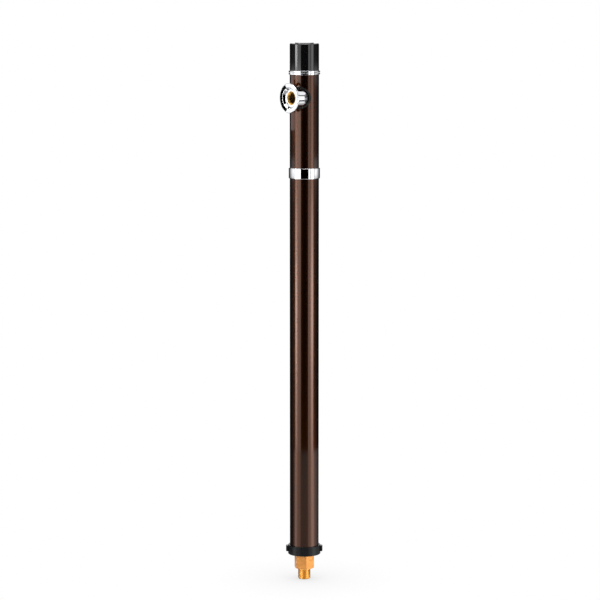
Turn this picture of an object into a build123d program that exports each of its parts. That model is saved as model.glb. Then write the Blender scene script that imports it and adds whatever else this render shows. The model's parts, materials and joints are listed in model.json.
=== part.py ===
from build123d import *
import math
import os

os.makedirs("parts", exist_ok=True)

# Garden standpipe with a foot valve that drains the column when it is shut.
# The black cap at the top is the handle. Its spindle screws a nut up and down without turning it,
# and the nut carries a long rod with the piston of the foot valve at its lower end.
# Sizes are in millimetres. The origin is the centre of the inlet nipple's lower end, +Z is up,
# and the tap socket faces -Y.

# Fits and cuts
overrun = 6.0
tight_gap = 0.05
running_gap = 0.08
pass_gap = 0.3

# Casing pipes
pipe_radius = 24.3
pipe_wall = 1.5
lower_pipe_length = 642.2
upper_pipe_length = 164.5

# Band over the joint of the two pipes, and the sleeve inside it
band_wall = 1.65
band_height = 17.5
band_web = 1.0
band_edge = 0.5
sleeve_wall = 1.8
sleeve_length = 50.0

# Inlet nipple with a half-inch pipe thread, and its strainer
thread_radius = 10.4775
nipple_reach = 18.3
nipple_grip = 12.7
nipple_wall = 3.23
nipple_step = 0.3
strainer_flange_width = 1.35
strainer_flange_height = 1.2
strainer_height = 14.0
strainer_wall = 0.8
strainer_hole_radius = 0.9
strainer_hole_count = 6

# Body of the foot valve
hex_wall = 4.47
hex_cover = 1.3
hex_corner_angle = -26.0
shank_wall = 1.3
seat_ledge = 2.0
drain_radius = 0.9
drain_plug_radius = 2.4
drain_plug_reach = 1.0
drain_angle = 90.0

# Seat of the foot valve
seat_hole_radius = 5.5
seat_height = 3.0
seat_lip_height = 1.0
seat_lip_width = 1.3

# Black ring round the foot of the casing
ring_wall = 3.0
ring_height = 15.5
ring_floor = 3.0
ring_edge = 0.6
lug_reach = 3.5
lug_width = 10.0
lug_height = 9.5
lug_edge = 0.7
lug_drop = 1.7
lug_angle = 52.0
ring_drain_radius = 1.4
ring_drain_count = 4
base_nut_wall = 2.95
base_nut_height = 6.0

# Riser pipe inside the casing
riser_radius = 11.1
riser_wall = 1.0
riser_socket_depth = 14.0
riser_drop = 23.5
seal_groove_depth = 1.1
seal_groove_height = 2.4

# Spacers that centre the riser pipe in the casing
spacer_hub_wall = 2.0
spacer_fin_width = 2.4
spacer_height = 12.0
spacer_fin_count = 4
spacer_place_shares = (0.28, 0.64)
upper_spacer_share = 0.5

# Operating rod and its guides
rod_radius = 4.0
rod_socket_depth = 9.0
guide_hub_wall = 2.0
guide_fin_width = 2.0
guide_height = 10.0
guide_fin_count = 3
guide_place_shares = (0.2, 0.45, 0.7, 0.92)

# Piston of the foot valve
piston_step = 0.1
piston_side_gap = 1.2
seat_washer_height = 2.5
seat_washer_proud = 1.0
piston_cup_wall = 0.95
piston_cup_roof = 2.5
piston_neck_radius = 5.5
piston_neck_height = 4.0
piston_land_height = 7.0
piston_headroom = 3.5
piston_ring_height = 1.6
piston_ring_inset = 0.8
piston_groove_depth = 1.6
flow_hole_share = 0.28
flow_hole_count = 4
washer_screw_radius = 1.8
washer_screw_side_gap = 2.0
washer_screw_head_height = 1.8
washer_screw_grip = 3.0

# Lift of the rod
screw_lead = 6.0
turns_to_open = 1.25

# Head body under the handle
barrel_wall = 1.8
head_tube_wall = 1.9
branch_wall = 3.0
branch_gap = 5.3
centring_flange_height = 4.0
centring_flange_drop = 12.0
key_depth = 1.6
key_width = 4.1

# Nut that the spindle lifts
drive_nut_headroom = 5.5
drive_nut_web = 1.5
drive_nut_thread = 15.5
drive_nut_key_drop = 2.0
rod_pin_radius = 1.5

# Collar on top of the upper pipe, and the ring on the handle above it
trim_wall = 1.65
collar_height = 3.0
collar_lip = 1.0
collar_web = 3.0
handle_gap = 0.5
trim_ring_height = 3.0
trim_spigot_height = 4.5
trim_spigot_wall = 1.2

# Bonnet, its washers and its gland
tube_rise = 6.0
bonnet_wall = 2.95
bonnet_side_gap = 1.8
bonnet_roof = 2.5
thrust_washer_height = 1.0
end_play = 0.2
gland_neck_wall = 2.5
packing_wall = 2.9
packing_height = 3.5
follower_height = 4.0
follower_rise = 1.0
gland_nut_wall = 1.95
gland_nut_roof = 2.5
gland_nut_lift = 1.0

# Spindle
spindle_screw_radius = 5.0
spindle_radius = 6.0
spindle_collar_radius = 8.5
spindle_collar_height = 2.5
spindle_end_gap = 0.5
square_share = 1.4

# Handle cap, its insert, screw and plug
cap_wall = 2.8
cap_roof = 3.5
cap_edge = 1.2
cap_rib_width = 1.8
cap_rib_height = 9.0
cap_rib_count = 6
hub_wall = 3.5
hub_gap = 0.6
hub_web = 2.0
insert_wall = 2.5
insert_height = 12.0
handle_screw_radius = 2.5
handle_screw_grip = 16.0
handle_screw_head_radius = 5.0
handle_screw_head_height = 3.5
handle_well_gap = 2.0
plug_margin = 8.8
plug_recess = 1.3
plug_rise = 1.2
plug_spigot_height = 3.3
plug_gap = 0.4
plug_edge = 0.5

# Chrome elbow, flange and brass bush of the tap socket
outlet_drop = 39.5
outlet_turn = 31.0
outlet_wall = 3.5
outlet_leg = 1.2
outlet_hole_gap = 0.6
waterway_radius = 6.75
spigot_gap = 0.4
mouth_edge = 0.4
bush_bore_radius = 9.3155
bush_wall = 2.13
bush_inset = 2.4
bush_chamfer = 1.1
outlet_washer_height = 1.5
gasket_width = 2.4
gasket_height = 0.9
flange_radius = 24.45
flange_sheet = 1.6
flange_dish = 5.8
flange_cone_run = 2.7
flange_cone_share = 0.74
flange_collar_length = 5.0
flange_rim = 0.7

# Radii of the foot, from the riser and the inlet thread outwards
nipple_bore_radius = thread_radius - nipple_wall
nipple_grip_radius = thread_radius - nipple_step
hex_flats = 2 * (thread_radius + tight_gap + hex_wall)
piston_bore_radius = riser_radius - riser_wall - piston_step
piston_cup_radius = piston_bore_radius - piston_side_gap
seat_washer_radius = piston_cup_radius - piston_cup_wall - tight_gap
seat_ledge_radius = seat_hole_radius + seat_lip_width
shank_radius = riser_radius + seal_groove_depth + shank_wall
base_nut_flats = 2 * (shank_radius + tight_gap + base_nut_wall)

# Radii of the head, from the casing inwards
pipe_bore_radius = pipe_radius - pipe_wall
trim_radius = pipe_radius + tight_gap + trim_wall
cap_bore_radius = pipe_radius - cap_wall
trim_bore_radius = cap_bore_radius - tight_gap - trim_spigot_wall
collar_web_radius = trim_bore_radius - handle_gap
bonnet_flats = math.sqrt(3) * (trim_bore_radius - bonnet_side_gap)
head_tube_radius = bonnet_flats / 2 - bonnet_wall - tight_gap
nut_bore_radius = head_tube_radius - head_tube_wall - key_depth
barrel_radius = riser_radius + seal_groove_depth + barrel_wall
branch_radius = thread_radius + branch_wall
branch_reach = pipe_bore_radius - branch_gap
gland_chamber_radius = spindle_radius + tight_gap + packing_wall
gland_neck_radius = gland_chamber_radius + gland_neck_wall
gland_nut_flats = 2 * (gland_neck_radius + tight_gap + gland_nut_wall)

# Radii of the outlet, from the tap thread outwards
bush_radius = bush_bore_radius + bush_wall
outlet_body_radius = bush_radius + tight_gap + outlet_wall
mouth_reach = outlet_body_radius + outlet_leg
bush_length = mouth_reach - bush_inset

# Heights inside the foot valve, with the valve shut, counted up from the end of the nipple
hex_bottom = nipple_reach
nipple_top = hex_bottom + nipple_grip
seat_bottom = nipple_top + seat_ledge
seat_shoulder = seat_bottom + seat_height
seat_top = seat_shoulder + seat_lip_height
piston_bottom = seat_top + seat_washer_proud
washer_top = seat_top + seat_washer_height
cup_top = washer_top + piston_cup_roof
land_bottom = cup_top + piston_neck_height
land_top = land_bottom + piston_land_height
rod_bottom = land_top - rod_socket_depth
lift = screw_lead * turns_to_open
drain_height = (land_bottom + land_top) / 2 + lift
riser_bottom = land_top + lift + piston_headroom
shank_top = riser_bottom + riser_socket_depth

# Heights of the casing
hex_top = cup_top + hex_cover
ring_top = hex_top + ring_height
lower_pipe_bottom = hex_top + ring_floor
lower_pipe_top = lower_pipe_bottom + lower_pipe_length
upper_pipe_bottom = lower_pipe_top + band_web
upper_pipe_top = upper_pipe_bottom + upper_pipe_length
joint_middle = lower_pipe_top + band_web / 2

# Heights of the head, with the valve shut
outlet_height = upper_pipe_top - outlet_drop
riser_top = outlet_height - riser_drop
head_bottom = riser_top - riser_socket_depth
centring_flange_top = upper_pipe_top - centring_flange_drop
collar_top = upper_pipe_top + collar_lip
collar_web_top = upper_pipe_top + collar_web
tube_top = collar_web_top + tube_rise
drive_nut_top = tube_top - drive_nut_headroom - lift
drive_nut_floor = drive_nut_top - drive_nut_thread
rod_top = drive_nut_floor - drive_nut_web
drive_nut_bottom = rod_top - rod_socket_depth
keyway_bottom = drive_nut_bottom - drive_nut_key_drop
spindle_bottom = drive_nut_floor + lift + spindle_end_gap
thrust_face = tube_top + thrust_washer_height
spindle_collar_top = thrust_face + spindle_collar_height
upper_washer_bottom = spindle_collar_top + end_play
bonnet_ceiling = upper_washer_bottom + thrust_washer_height
bonnet_top = bonnet_ceiling + bonnet_roof
packing_top = bonnet_top + packing_height
follower_top = packing_top + follower_height
gland_neck_top = follower_top - follower_rise
gland_nut_bottom = bonnet_top + gland_nut_lift
gland_nut_top = follower_top + gland_nut_roof

# Heights of the handle
trim_bottom = collar_top + handle_gap
cap_bottom = trim_bottom + trim_ring_height
square_bottom = gland_nut_top + hub_gap
insert_top = square_bottom + insert_height
hub_top = insert_top + hub_web
screw_head_top = hub_top + handle_screw_head_height
plug_spigot_bottom = screw_head_top + plug_gap
plug_seat = plug_spigot_bottom + plug_spigot_height
cap_top = plug_seat + plug_recess

# Directions of the outlet: the elbow's root points away from the pipe's axis, its mouth along -Y
root_direction = Vector(
    math.sin(math.radians(outlet_turn)), -math.cos(math.radians(outlet_turn)), 0
)
mouth_direction = Vector(0, -1, 0)
outlet_centre = Vector(0, 0, outlet_height)
knuckle = outlet_centre + root_direction * pipe_radius
mouth = knuckle + mouth_direction * mouth_reach
elbow_seat = branch_reach + outlet_washer_height
mouth_axis = Axis(mouth, mouth_direction)


def root_plane(distance):
    """The plane square to the elbow's root, at a distance from the pipe's axis."""
    return Plane(origin=outlet_centre + root_direction * distance, z_dir=root_direction)


def mouth_plane(depth):
    """The plane square to the socket, at a depth behind its mouth."""
    return Plane(origin=mouth - mouth_direction * depth, z_dir=mouth_direction)


def tube(bottom, top, outer, inner):
    """Adds an upright tube to the active part."""
    with BuildSketch(Plane.XY.offset(bottom)) as section:
        Circle(outer)
        Circle(inner, mode=Mode.SUBTRACT)
    extrude(section.sketch, amount=top - bottom)


def bore(bottom, top, radius):
    """Cuts an upright round hole in the active part."""
    with BuildSketch(Plane.XY.offset(bottom)) as section:
        Circle(radius)
    extrude(section.sketch, amount=top - bottom, mode=Mode.SUBTRACT)


def hexagon(bottom, top, flats, corner_angle=0.0):
    """Starts the active part with a hexagon, its corners turned down at both ends."""
    flat_radius = flats / 2
    corner_radius = flats / math.sqrt(3)
    slope = (corner_radius - flat_radius) / math.sqrt(3)
    with BuildSketch(Plane.XY.offset(bottom)) as section:
        RegularPolygon(corner_radius, 6, rotation=corner_angle)
    extrude(section.sketch, amount=top - bottom)
    with BuildSketch(Plane.XZ) as envelope:
        with BuildLine():
            Polyline(
                (0, bottom),
                (flat_radius, bottom),
                (corner_radius, bottom + slope),
                (corner_radius, top - slope),
                (flat_radius, top),
                (0, top),
                close=True,
            )
        make_face()
    revolve(envelope.sketch, axis=Axis.Z, mode=Mode.INTERSECT)


def fins(bottom, top, radius, width, count, hub_radius):
    """Adds a spider of flat fins round a hub to the active part."""
    with BuildSketch(Plane.XY.offset(bottom)) as section:
        Circle(hub_radius)
        with PolarLocations(0, count):
            Rectangle(radius, width, align=(Align.MIN, Align.CENTER))
        Circle(radius, mode=Mode.INTERSECT)
    extrude(section.sketch, amount=top - bottom)


# Foot of the standpipe

# Inlet nipple: it screws into the valve body from below, up to the shoulder of its free end
with BuildPart() as inlet_nipple:
    tube(0, hex_bottom, thread_radius, nipple_bore_radius)
    tube(hex_bottom, nipple_top, nipple_grip_radius, nipple_bore_radius)
    bore(0, strainer_flange_height, nipple_bore_radius + strainer_flange_width)
inlet_nipple.part.label = "inlet_nipple"
export_step(inlet_nipple.part, "parts/inlet_nipple.step")

# Strainer: a thin cup with its flange in the nipple's counterbore
strainer_radius = nipple_bore_radius - tight_gap
with BuildPart() as inlet_strainer:
    tube(
        0,
        strainer_flange_height,
        strainer_radius + strainer_flange_width,
        strainer_radius - strainer_wall,
    )
    tube(0, strainer_height, strainer_radius, strainer_radius - strainer_wall)
    with BuildSketch(Plane.XY.offset(strainer_height - strainer_wall)):
        Circle(strainer_radius)
        with PolarLocations(strainer_radius / 2, strainer_hole_count):
            Circle(strainer_hole_radius, mode=Mode.SUBTRACT)
    extrude(amount=strainer_wall)
inlet_strainer.part.label = "inlet_strainer"
export_step(inlet_strainer.part, "parts/inlet_strainer.step")

# Valve body: a hexagon below the casing and a round shank inside it
with BuildPart() as valve_body:
    hexagon(hex_bottom, hex_top, hex_flats, hex_corner_angle)
    tube(hex_top, shank_top, shank_radius, piston_bore_radius)
    bore(hex_bottom - overrun, nipple_top, nipple_grip_radius + tight_gap)
    bore(nipple_top, seat_bottom, seat_ledge_radius)
    bore(seat_bottom, riser_bottom, piston_bore_radius)
    bore(riser_bottom, shank_top, riser_radius + tight_gap)
    groove_bottom = riser_bottom + (riser_socket_depth - seal_groove_height) / 2
    bore(groove_bottom, groove_bottom + seal_groove_height, riser_radius + seal_groove_depth)
    drain_way = Plane(
        origin=(0, 0, drain_height),
        z_dir=Vector(1, 0, 0).rotate(Axis.Z, drain_angle),
    )
    with BuildSketch(drain_way):
        Circle(drain_plug_radius + tight_gap)
    extrude(amount=shank_radius + overrun, mode=Mode.SUBTRACT)
valve_body.part.label = "valve_body"
export_step(valve_body.part, "parts/valve_body.step")

# Drain plug: a bored stub pressed into the side of the shank
with BuildPart() as drain_plug:
    with BuildSketch(drain_way):
        Circle(drain_plug_radius)
    extrude(amount=shank_radius + drain_plug_reach)
    bore(drain_height - overrun, drain_height + overrun, piston_bore_radius + tight_gap)
    with BuildSketch(drain_way):
        Circle(drain_radius)
    extrude(amount=shank_radius + overrun, mode=Mode.SUBTRACT)
drain_plug.part.label = "drain_plug"
export_step(drain_plug.part, "parts/drain_plug.step")

# Seat ring: pressed into the body above the nipple, with a raised lip
with BuildPart() as valve_seat:
    tube(seat_bottom, seat_shoulder, piston_bore_radius - tight_gap, seat_hole_radius)
    tube(seat_shoulder, seat_top, seat_hole_radius + seat_lip_width, seat_hole_radius)
valve_seat.part.label = "valve_seat"
export_step(valve_seat.part, "parts/valve_seat.step")

# Base ring: a black cup round the foot of the casing, with two lugs and drain holes in its floor
ring_radius = pipe_radius + tight_gap + ring_wall
lug_top = ring_top - lug_drop
with BuildPart() as base_ring:
    with BuildSketch(Plane.XY.offset(hex_top)):
        Circle(ring_radius)
    extrude(amount=ring_height)
    chamfer(base_ring.edges().group_by(Axis.Z)[-1], length=ring_edge)
    chamfer(base_ring.edges().group_by(Axis.Z)[0], length=ring_edge)
    with BuildSketch(Plane.XY.offset(lug_top - lug_height)):
        with PolarLocations(0, 2, start_angle=lug_angle):
            Rectangle(ring_radius + lug_reach, lug_width, align=(Align.MIN, Align.CENTER))
        Circle(ring_radius + lug_reach, mode=Mode.INTERSECT)
    extrude(amount=lug_height)
    lug_faces = base_ring.faces().filter_by(
        lambda face: math.hypot(face.center().X, face.center().Y) > ring_radius + lug_reach / 2
        and face.geom_type == GeomType.CYLINDER
    )
    chamfer(lug_faces.edges(), length=lug_edge)
    bore(lower_pipe_bottom, ring_top, pipe_radius + tight_gap)
    bore(hex_top, lower_pipe_bottom, shank_radius + tight_gap)
    with BuildSketch(Plane.XY.offset(hex_top)):
        with PolarLocations(pipe_bore_radius - ring_drain_radius, ring_drain_count):
            Circle(ring_drain_radius)
    extrude(amount=ring_floor, mode=Mode.SUBTRACT)
base_ring.part.label = "base_ring"
export_step(base_ring.part, "parts/base_ring.step")

# Base nut: it clamps the ring's floor against the valve body's hexagon
with BuildPart() as base_nut:
    hexagon(lower_pipe_bottom, lower_pipe_bottom + base_nut_height, base_nut_flats)
    bore(
        lower_pipe_bottom,
        lower_pipe_bottom + base_nut_height,
        shank_radius + tight_gap,
    )
base_nut.part.label = "base_nut"
export_step(base_nut.part, "parts/base_nut.step")

# Column

with BuildPart() as lower_pipe:
    tube(lower_pipe_bottom, lower_pipe_top, pipe_radius, pipe_bore_radius)
lower_pipe.part.label = "lower_pipe"
export_step(lower_pipe.part, "parts/lower_pipe.step")

with BuildPart() as upper_pipe:
    tube(upper_pipe_bottom, upper_pipe_top, pipe_radius, pipe_bore_radius)
    with BuildSketch(root_plane(0)):
        Circle(outlet_body_radius + outlet_hole_gap)
    extrude(amount=pipe_radius + overrun, mode=Mode.SUBTRACT)
upper_pipe.part.label = "upper_pipe"
export_step(upper_pipe.part, "parts/upper_pipe.step")

# Joint band: a bright ring over the joint, with a web that the two pipe ends meet
band_radius = pipe_radius + tight_gap + band_wall
with BuildPart() as joint_band:
    tube(
        joint_middle - band_height / 2,
        joint_middle + band_height / 2,
        band_radius,
        pipe_radius + tight_gap,
    )
    band_rims = joint_band.edges().filter_by(GeomType.CIRCLE).group_by(SortBy.RADIUS)[-1]
    chamfer(band_rims, length=band_edge)
    tube(lower_pipe_top, upper_pipe_bottom, pipe_radius + band_wall / 2, pipe_bore_radius)
joint_band.part.label = "joint_band"
export_step(joint_band.part, "parts/joint_band.step")

sleeve_radius = pipe_bore_radius - tight_gap
with BuildPart() as joint_sleeve:
    tube(
        joint_middle - sleeve_length / 2,
        joint_middle + sleeve_length / 2,
        sleeve_radius,
        sleeve_radius - sleeve_wall,
    )
joint_sleeve.part.label = "joint_sleeve"
export_step(joint_sleeve.part, "parts/joint_sleeve.step")

riser_bore_radius = riser_radius - riser_wall
with BuildPart() as riser_pipe:
    tube(riser_bottom, riser_top, riser_radius, riser_bore_radius)
riser_pipe.part.label = "riser_pipe"
export_step(riser_pipe.part, "parts/riser_pipe.step")

# Riser seals: one ring in the socket at each end of the riser pipe
head_groove_bottom = head_bottom + (riser_socket_depth - seal_groove_height) / 2
with BuildPart() as riser_seals:
    for seal_bottom in (groove_bottom, head_groove_bottom):
        tube(
            seal_bottom,
            seal_bottom + seal_groove_height,
            riser_radius + seal_groove_depth - tight_gap,
            riser_radius + tight_gap / 2,
        )
riser_seals.part.label = "riser_seals"
export_step(riser_seals.part, "parts/riser_seals.step")

# Casing spacers: spiders that hold the riser pipe in the middle of the casing
spacer_places = [lower_pipe_bottom + lower_pipe_length * share for share in spacer_place_shares]
spacer_places.append(upper_pipe_bottom + (head_bottom - upper_pipe_bottom) * upper_spacer_share)
with BuildPart() as casing_spacers:
    for place in spacer_places:
        fins(
            place,
            place + spacer_height,
            pipe_bore_radius - tight_gap,
            spacer_fin_width,
            spacer_fin_count,
            riser_radius + tight_gap + spacer_hub_wall,
        )
        bore(place, place + spacer_height, riser_radius + tight_gap)
casing_spacers.part.label = "casing_spacers"
export_step(casing_spacers.part, "parts/casing_spacers.step")

# Head

# Head body: a tee with a socket for the riser, a branch for the outlet and a keyed bore for the nut
with BuildPart() as head_body:
    with BuildSketch(Plane.XY.offset(head_bottom)):
        Circle(barrel_radius)
    extrude(amount=centring_flange_top - head_bottom)
    with BuildSketch(Plane.XY.offset(centring_flange_top)):
        Circle(head_tube_radius)
    extrude(amount=tube_top - centring_flange_top)
    with BuildSketch(Plane.XY.offset(centring_flange_top)):
        Circle(pipe_bore_radius - tight_gap)
    extrude(amount=-centring_flange_height)
    with BuildSketch(root_plane(0)):
        Circle(branch_radius)
    extrude(amount=branch_reach)
    bore(head_bottom, riser_top, riser_radius + tight_gap)
    bore(
        head_groove_bottom,
        head_groove_bottom + seal_groove_height,
        riser_radius + seal_groove_depth,
    )
    bore(riser_top, tube_top, nut_bore_radius)
    with BuildSketch(Plane.XY.offset(keyway_bottom)):
        Rectangle(
            2 * (nut_bore_radius + key_depth),
            key_width + 2 * running_gap,
        )
    extrude(amount=tube_top - keyway_bottom, mode=Mode.SUBTRACT)
    with BuildSketch(root_plane(0)):
        Circle(waterway_radius)
    extrude(amount=branch_reach, mode=Mode.SUBTRACT)
    with BuildSketch(root_plane(nut_bore_radius + tight_gap)):
        Circle(thread_radius + tight_gap)
    extrude(amount=branch_reach, mode=Mode.SUBTRACT)
head_body.part.label = "head_body"
export_step(head_body.part, "parts/head_body.step")

# Top collar: a bright rim over the pipe's end, and the web that the bonnet pulls down on
with BuildPart() as top_collar:
    tube(
        collar_top - collar_height,
        collar_top,
        trim_radius,
        pipe_radius + tight_gap,
    )
    tube(upper_pipe_top, collar_top, pipe_radius + trim_wall / 2, head_tube_radius + tight_gap)
    tube(upper_pipe_top, collar_web_top, collar_web_radius, head_tube_radius + tight_gap)
top_collar.part.label = "top_collar"
export_step(top_collar.part, "parts/top_collar.step")

# Bonnet: it screws onto the head's tube, holds the spindle's collar and carries the gland
with BuildPart() as bonnet:
    hexagon(collar_web_top, bonnet_top, bonnet_flats)
    tube(bonnet_top, gland_neck_top, gland_neck_radius, gland_chamber_radius)
    bore(collar_web_top, bonnet_ceiling, head_tube_radius + tight_gap)
    bore(bonnet_ceiling, bonnet_top, spindle_radius + running_gap)
bonnet.part.label = "bonnet"
export_step(bonnet.part, "parts/bonnet.step")

with BuildPart() as thrust_washers:
    tube(tube_top, thrust_face, head_tube_radius - pass_gap, spindle_screw_radius + pass_gap)
    tube(
        upper_washer_bottom,
        bonnet_ceiling,
        head_tube_radius - pass_gap,
        spindle_radius + pass_gap,
    )
thrust_washers.part.label = "thrust_washers"
export_step(thrust_washers.part, "parts/thrust_washers.step")

with BuildPart() as gland_packing:
    tube(
        bonnet_top,
        packing_top,
        gland_chamber_radius - tight_gap,
        spindle_radius + tight_gap,
    )
gland_packing.part.label = "gland_packing"
export_step(gland_packing.part, "parts/gland_packing.step")

with BuildPart() as gland_follower:
    tube(
        packing_top,
        follower_top,
        gland_chamber_radius - tight_gap,
        spindle_radius + running_gap,
    )
gland_follower.part.label = "gland_follower"
export_step(gland_follower.part, "parts/gland_follower.step")

with BuildPart() as gland_nut:
    hexagon(gland_nut_bottom, gland_nut_top, gland_nut_flats)
    bore(gland_nut_bottom, follower_top, gland_neck_radius + tight_gap)
    bore(follower_top, gland_nut_top, spindle_radius + running_gap)
gland_nut.part.label = "gland_nut"
export_step(gland_nut.part, "parts/gland_nut.step")

# Outlet

# Outlet elbow: a spigot into the head's branch, a round knuckle and a short leg to the mouth.
with BuildPart() as outlet_elbow:
    with Locations(knuckle):
        Sphere(outlet_body_radius)
    with BuildSketch(mouth_plane(mouth_reach)):
        Circle(outlet_body_radius)
    extrude(amount=mouth_reach)
    split(bisect_by=root_plane(elbow_seat), keep=Keep.TOP)
    mouth_rim = outlet_elbow.edges().filter_by(GeomType.CIRCLE).sort_by(Axis.Y)[0]
    chamfer(mouth_rim, length=mouth_edge)
    with BuildSketch(root_plane(nut_bore_radius + spigot_gap)):
        Circle(thread_radius)
    extrude(amount=pipe_radius - nut_bore_radius - spigot_gap)
    with BuildSketch(root_plane(0)):
        Circle(waterway_radius)
    extrude(amount=pipe_radius, mode=Mode.SUBTRACT)
    with Locations(knuckle):
        Sphere(waterway_radius, mode=Mode.SUBTRACT)
    with BuildSketch(mouth_plane(mouth_reach)):
        Circle(waterway_radius)
    extrude(amount=mouth_reach, mode=Mode.SUBTRACT)
    with BuildSketch(mouth_plane(bush_length)):
        Circle(bush_radius + tight_gap)
    extrude(amount=bush_length, mode=Mode.SUBTRACT)
outlet_elbow.part.label = "outlet_elbow"
export_step(outlet_elbow.part, "parts/outlet_elbow.step")

# Outlet bush: the brass thread that a tap screws into
with BuildPart() as outlet_bush:
    with BuildSketch(mouth_plane(bush_length)):
        Circle(bush_radius)
        Circle(bush_bore_radius, mode=Mode.SUBTRACT)
    extrude(amount=bush_length)
    mouth_edges = outlet_bush.edges().filter_by(GeomType.CIRCLE).group_by(Axis.Y)[0]
    chamfer(mouth_edges.sort_by(SortBy.RADIUS)[0], length=bush_chamfer)
outlet_bush.part.label = "outlet_bush"
export_step(outlet_bush.part, "parts/outlet_bush.step")

# Outlet flange: a dished escutcheon that slides on the elbow's leg
flange_bore = outlet_body_radius + tight_gap
flange_cone_radius = flange_bore + flange_cone_run
flange_cone_rise = flange_dish * flange_cone_share
flange_section = Plane(origin=mouth, x_dir=(1, 0, 0), z_dir=(0, 0, 1))
with BuildPart() as outlet_flange:
    with BuildSketch(flange_section):
        with BuildLine():
            Polyline(
                (flange_bore, flange_collar_length),
                (flange_bore, 0),
                (flange_cone_radius, -flange_cone_rise),
                (flange_radius - flange_rim, -flange_dish),
                (flange_radius, -flange_dish + flange_rim),
                (flange_radius, -flange_dish + flange_sheet + flange_rim),
                (flange_radius - flange_rim, -flange_dish + flange_sheet + flange_rim),
                (flange_cone_radius + flange_sheet, -flange_cone_rise + flange_sheet),
                (flange_bore + flange_sheet, 0),
                (flange_bore + flange_sheet, flange_collar_length),
                close=True,
            )
        make_face()
    revolve(axis=mouth_axis)
outlet_flange.part.label = "outlet_flange"
export_step(outlet_flange.part, "parts/outlet_flange.step")

# Outlet washer: a flat ring between the elbow and the head's branch
with BuildPart() as outlet_washer:
    with BuildSketch(root_plane(branch_reach)):
        Circle(branch_radius)
        Circle(thread_radius + tight_gap, mode=Mode.SUBTRACT)
    extrude(amount=outlet_washer_height)
outlet_washer.part.label = "outlet_washer"
export_step(outlet_washer.part, "parts/outlet_washer.step")

# Outlet gasket: a thin black ring laid on the pipe round the elbow's hole
gasket_bore_radius = outlet_body_radius + outlet_hole_gap + gasket_height / 4
with BuildPart() as outlet_gasket:
    with BuildSketch(root_plane(0)):
        Circle(gasket_bore_radius + gasket_width)
        Circle(gasket_bore_radius, mode=Mode.SUBTRACT)
    extrude(amount=pipe_radius + overrun)
    with BuildSketch(Plane.XY.offset(outlet_height)):
        Circle(pipe_radius + gasket_height)
        Circle(pipe_radius, mode=Mode.SUBTRACT)
    extrude(amount=2 * outlet_body_radius, both=True, mode=Mode.INTERSECT)
outlet_gasket.part.label = "outlet_gasket"
export_step(outlet_gasket.part, "parts/outlet_gasket.step")

# Handle

# Spindle: a screw for the nut, a collar held under the bonnet, a journal and a square for the handle
square_flats = spindle_radius * square_share
screw_hole_bottom = hub_top - handle_screw_grip
with BuildPart() as spindle:
    with BuildSketch(Plane.XY.offset(spindle_bottom)):
        Circle(spindle_screw_radius)
    extrude(amount=thrust_face - spindle_bottom)
    with BuildSketch(Plane.XY.offset(thrust_face)):
        Circle(spindle_collar_radius)
    extrude(amount=spindle_collar_height)
    with BuildSketch(Plane.XY.offset(spindle_collar_top)):
        Circle(spindle_radius)
    extrude(amount=square_bottom - spindle_collar_top)
    with BuildSketch(Plane.XY.offset(square_bottom)):
        Rectangle(square_flats, square_flats)
    extrude(amount=insert_height - pass_gap)
    bore(screw_hole_bottom - handle_screw_radius, insert_top, handle_screw_radius + tight_gap)
spindle.part.label = "spindle"
export_step(spindle.part, "parts/spindle.step")

# Handle insert: a brass bush with a square hole, moulded into the cap's hub
insert_radius = spindle_radius + insert_wall
with BuildPart() as handle_insert:
    with BuildSketch(Plane.XY.offset(square_bottom)):
        Circle(insert_radius)
        Rectangle(
            square_flats + 2 * tight_gap,
            square_flats + 2 * tight_gap,
            mode=Mode.SUBTRACT,
        )
    extrude(amount=insert_height)
handle_insert.part.label = "handle_insert"
export_step(handle_insert.part, "parts/handle_insert.step")

# Handle cap: a deep black cup with a hub, ribs under its roof and a recess for the plug
hub_radius = insert_radius + hub_wall
handle_well_radius = handle_screw_head_radius + handle_well_gap
plug_radius = pipe_radius - plug_margin
cap_ceiling = cap_top - cap_roof
with BuildPart() as handle_cap:
    with BuildSketch(Plane.XY.offset(cap_bottom)):
        Circle(pipe_radius)
    extrude(amount=cap_top - cap_bottom)
    chamfer(handle_cap.edges().group_by(Axis.Z)[-1], length=cap_edge)
    bore(cap_bottom, cap_ceiling, cap_bore_radius)
    with BuildSketch(Plane.XY.offset(square_bottom)):
        Circle(hub_radius)
    extrude(amount=cap_ceiling - square_bottom)
    with BuildSketch(Plane.XY.offset(cap_ceiling - cap_rib_height)):
        with PolarLocations(0, cap_rib_count):
            Rectangle(cap_bore_radius + cap_wall / 2, cap_rib_width, align=(Align.MIN, Align.CENTER))
        Circle(hub_radius - hub_wall / 2, mode=Mode.SUBTRACT)
    extrude(amount=cap_rib_height)
    bore(square_bottom, insert_top, insert_radius + tight_gap)
    bore(insert_top, hub_top, handle_screw_radius + pass_gap)
    bore(hub_top, cap_top, handle_well_radius)
    bore(plug_seat, cap_top, plug_radius + tight_gap)
handle_cap.part.label = "handle_cap"
export_step(handle_cap.part, "parts/handle_cap.step")

with BuildPart() as handle_screw:
    with BuildSketch(Plane.XY.offset(screw_hole_bottom)):
        Circle(handle_screw_radius)
    extrude(amount=handle_screw_grip)
    with BuildSketch(Plane.XY.offset(hub_top)):
        Circle(handle_screw_head_radius)
    extrude(amount=handle_screw_head_height)
handle_screw.part.label = "handle_screw"
export_step(handle_screw.part, "parts/handle_screw.step")

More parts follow.
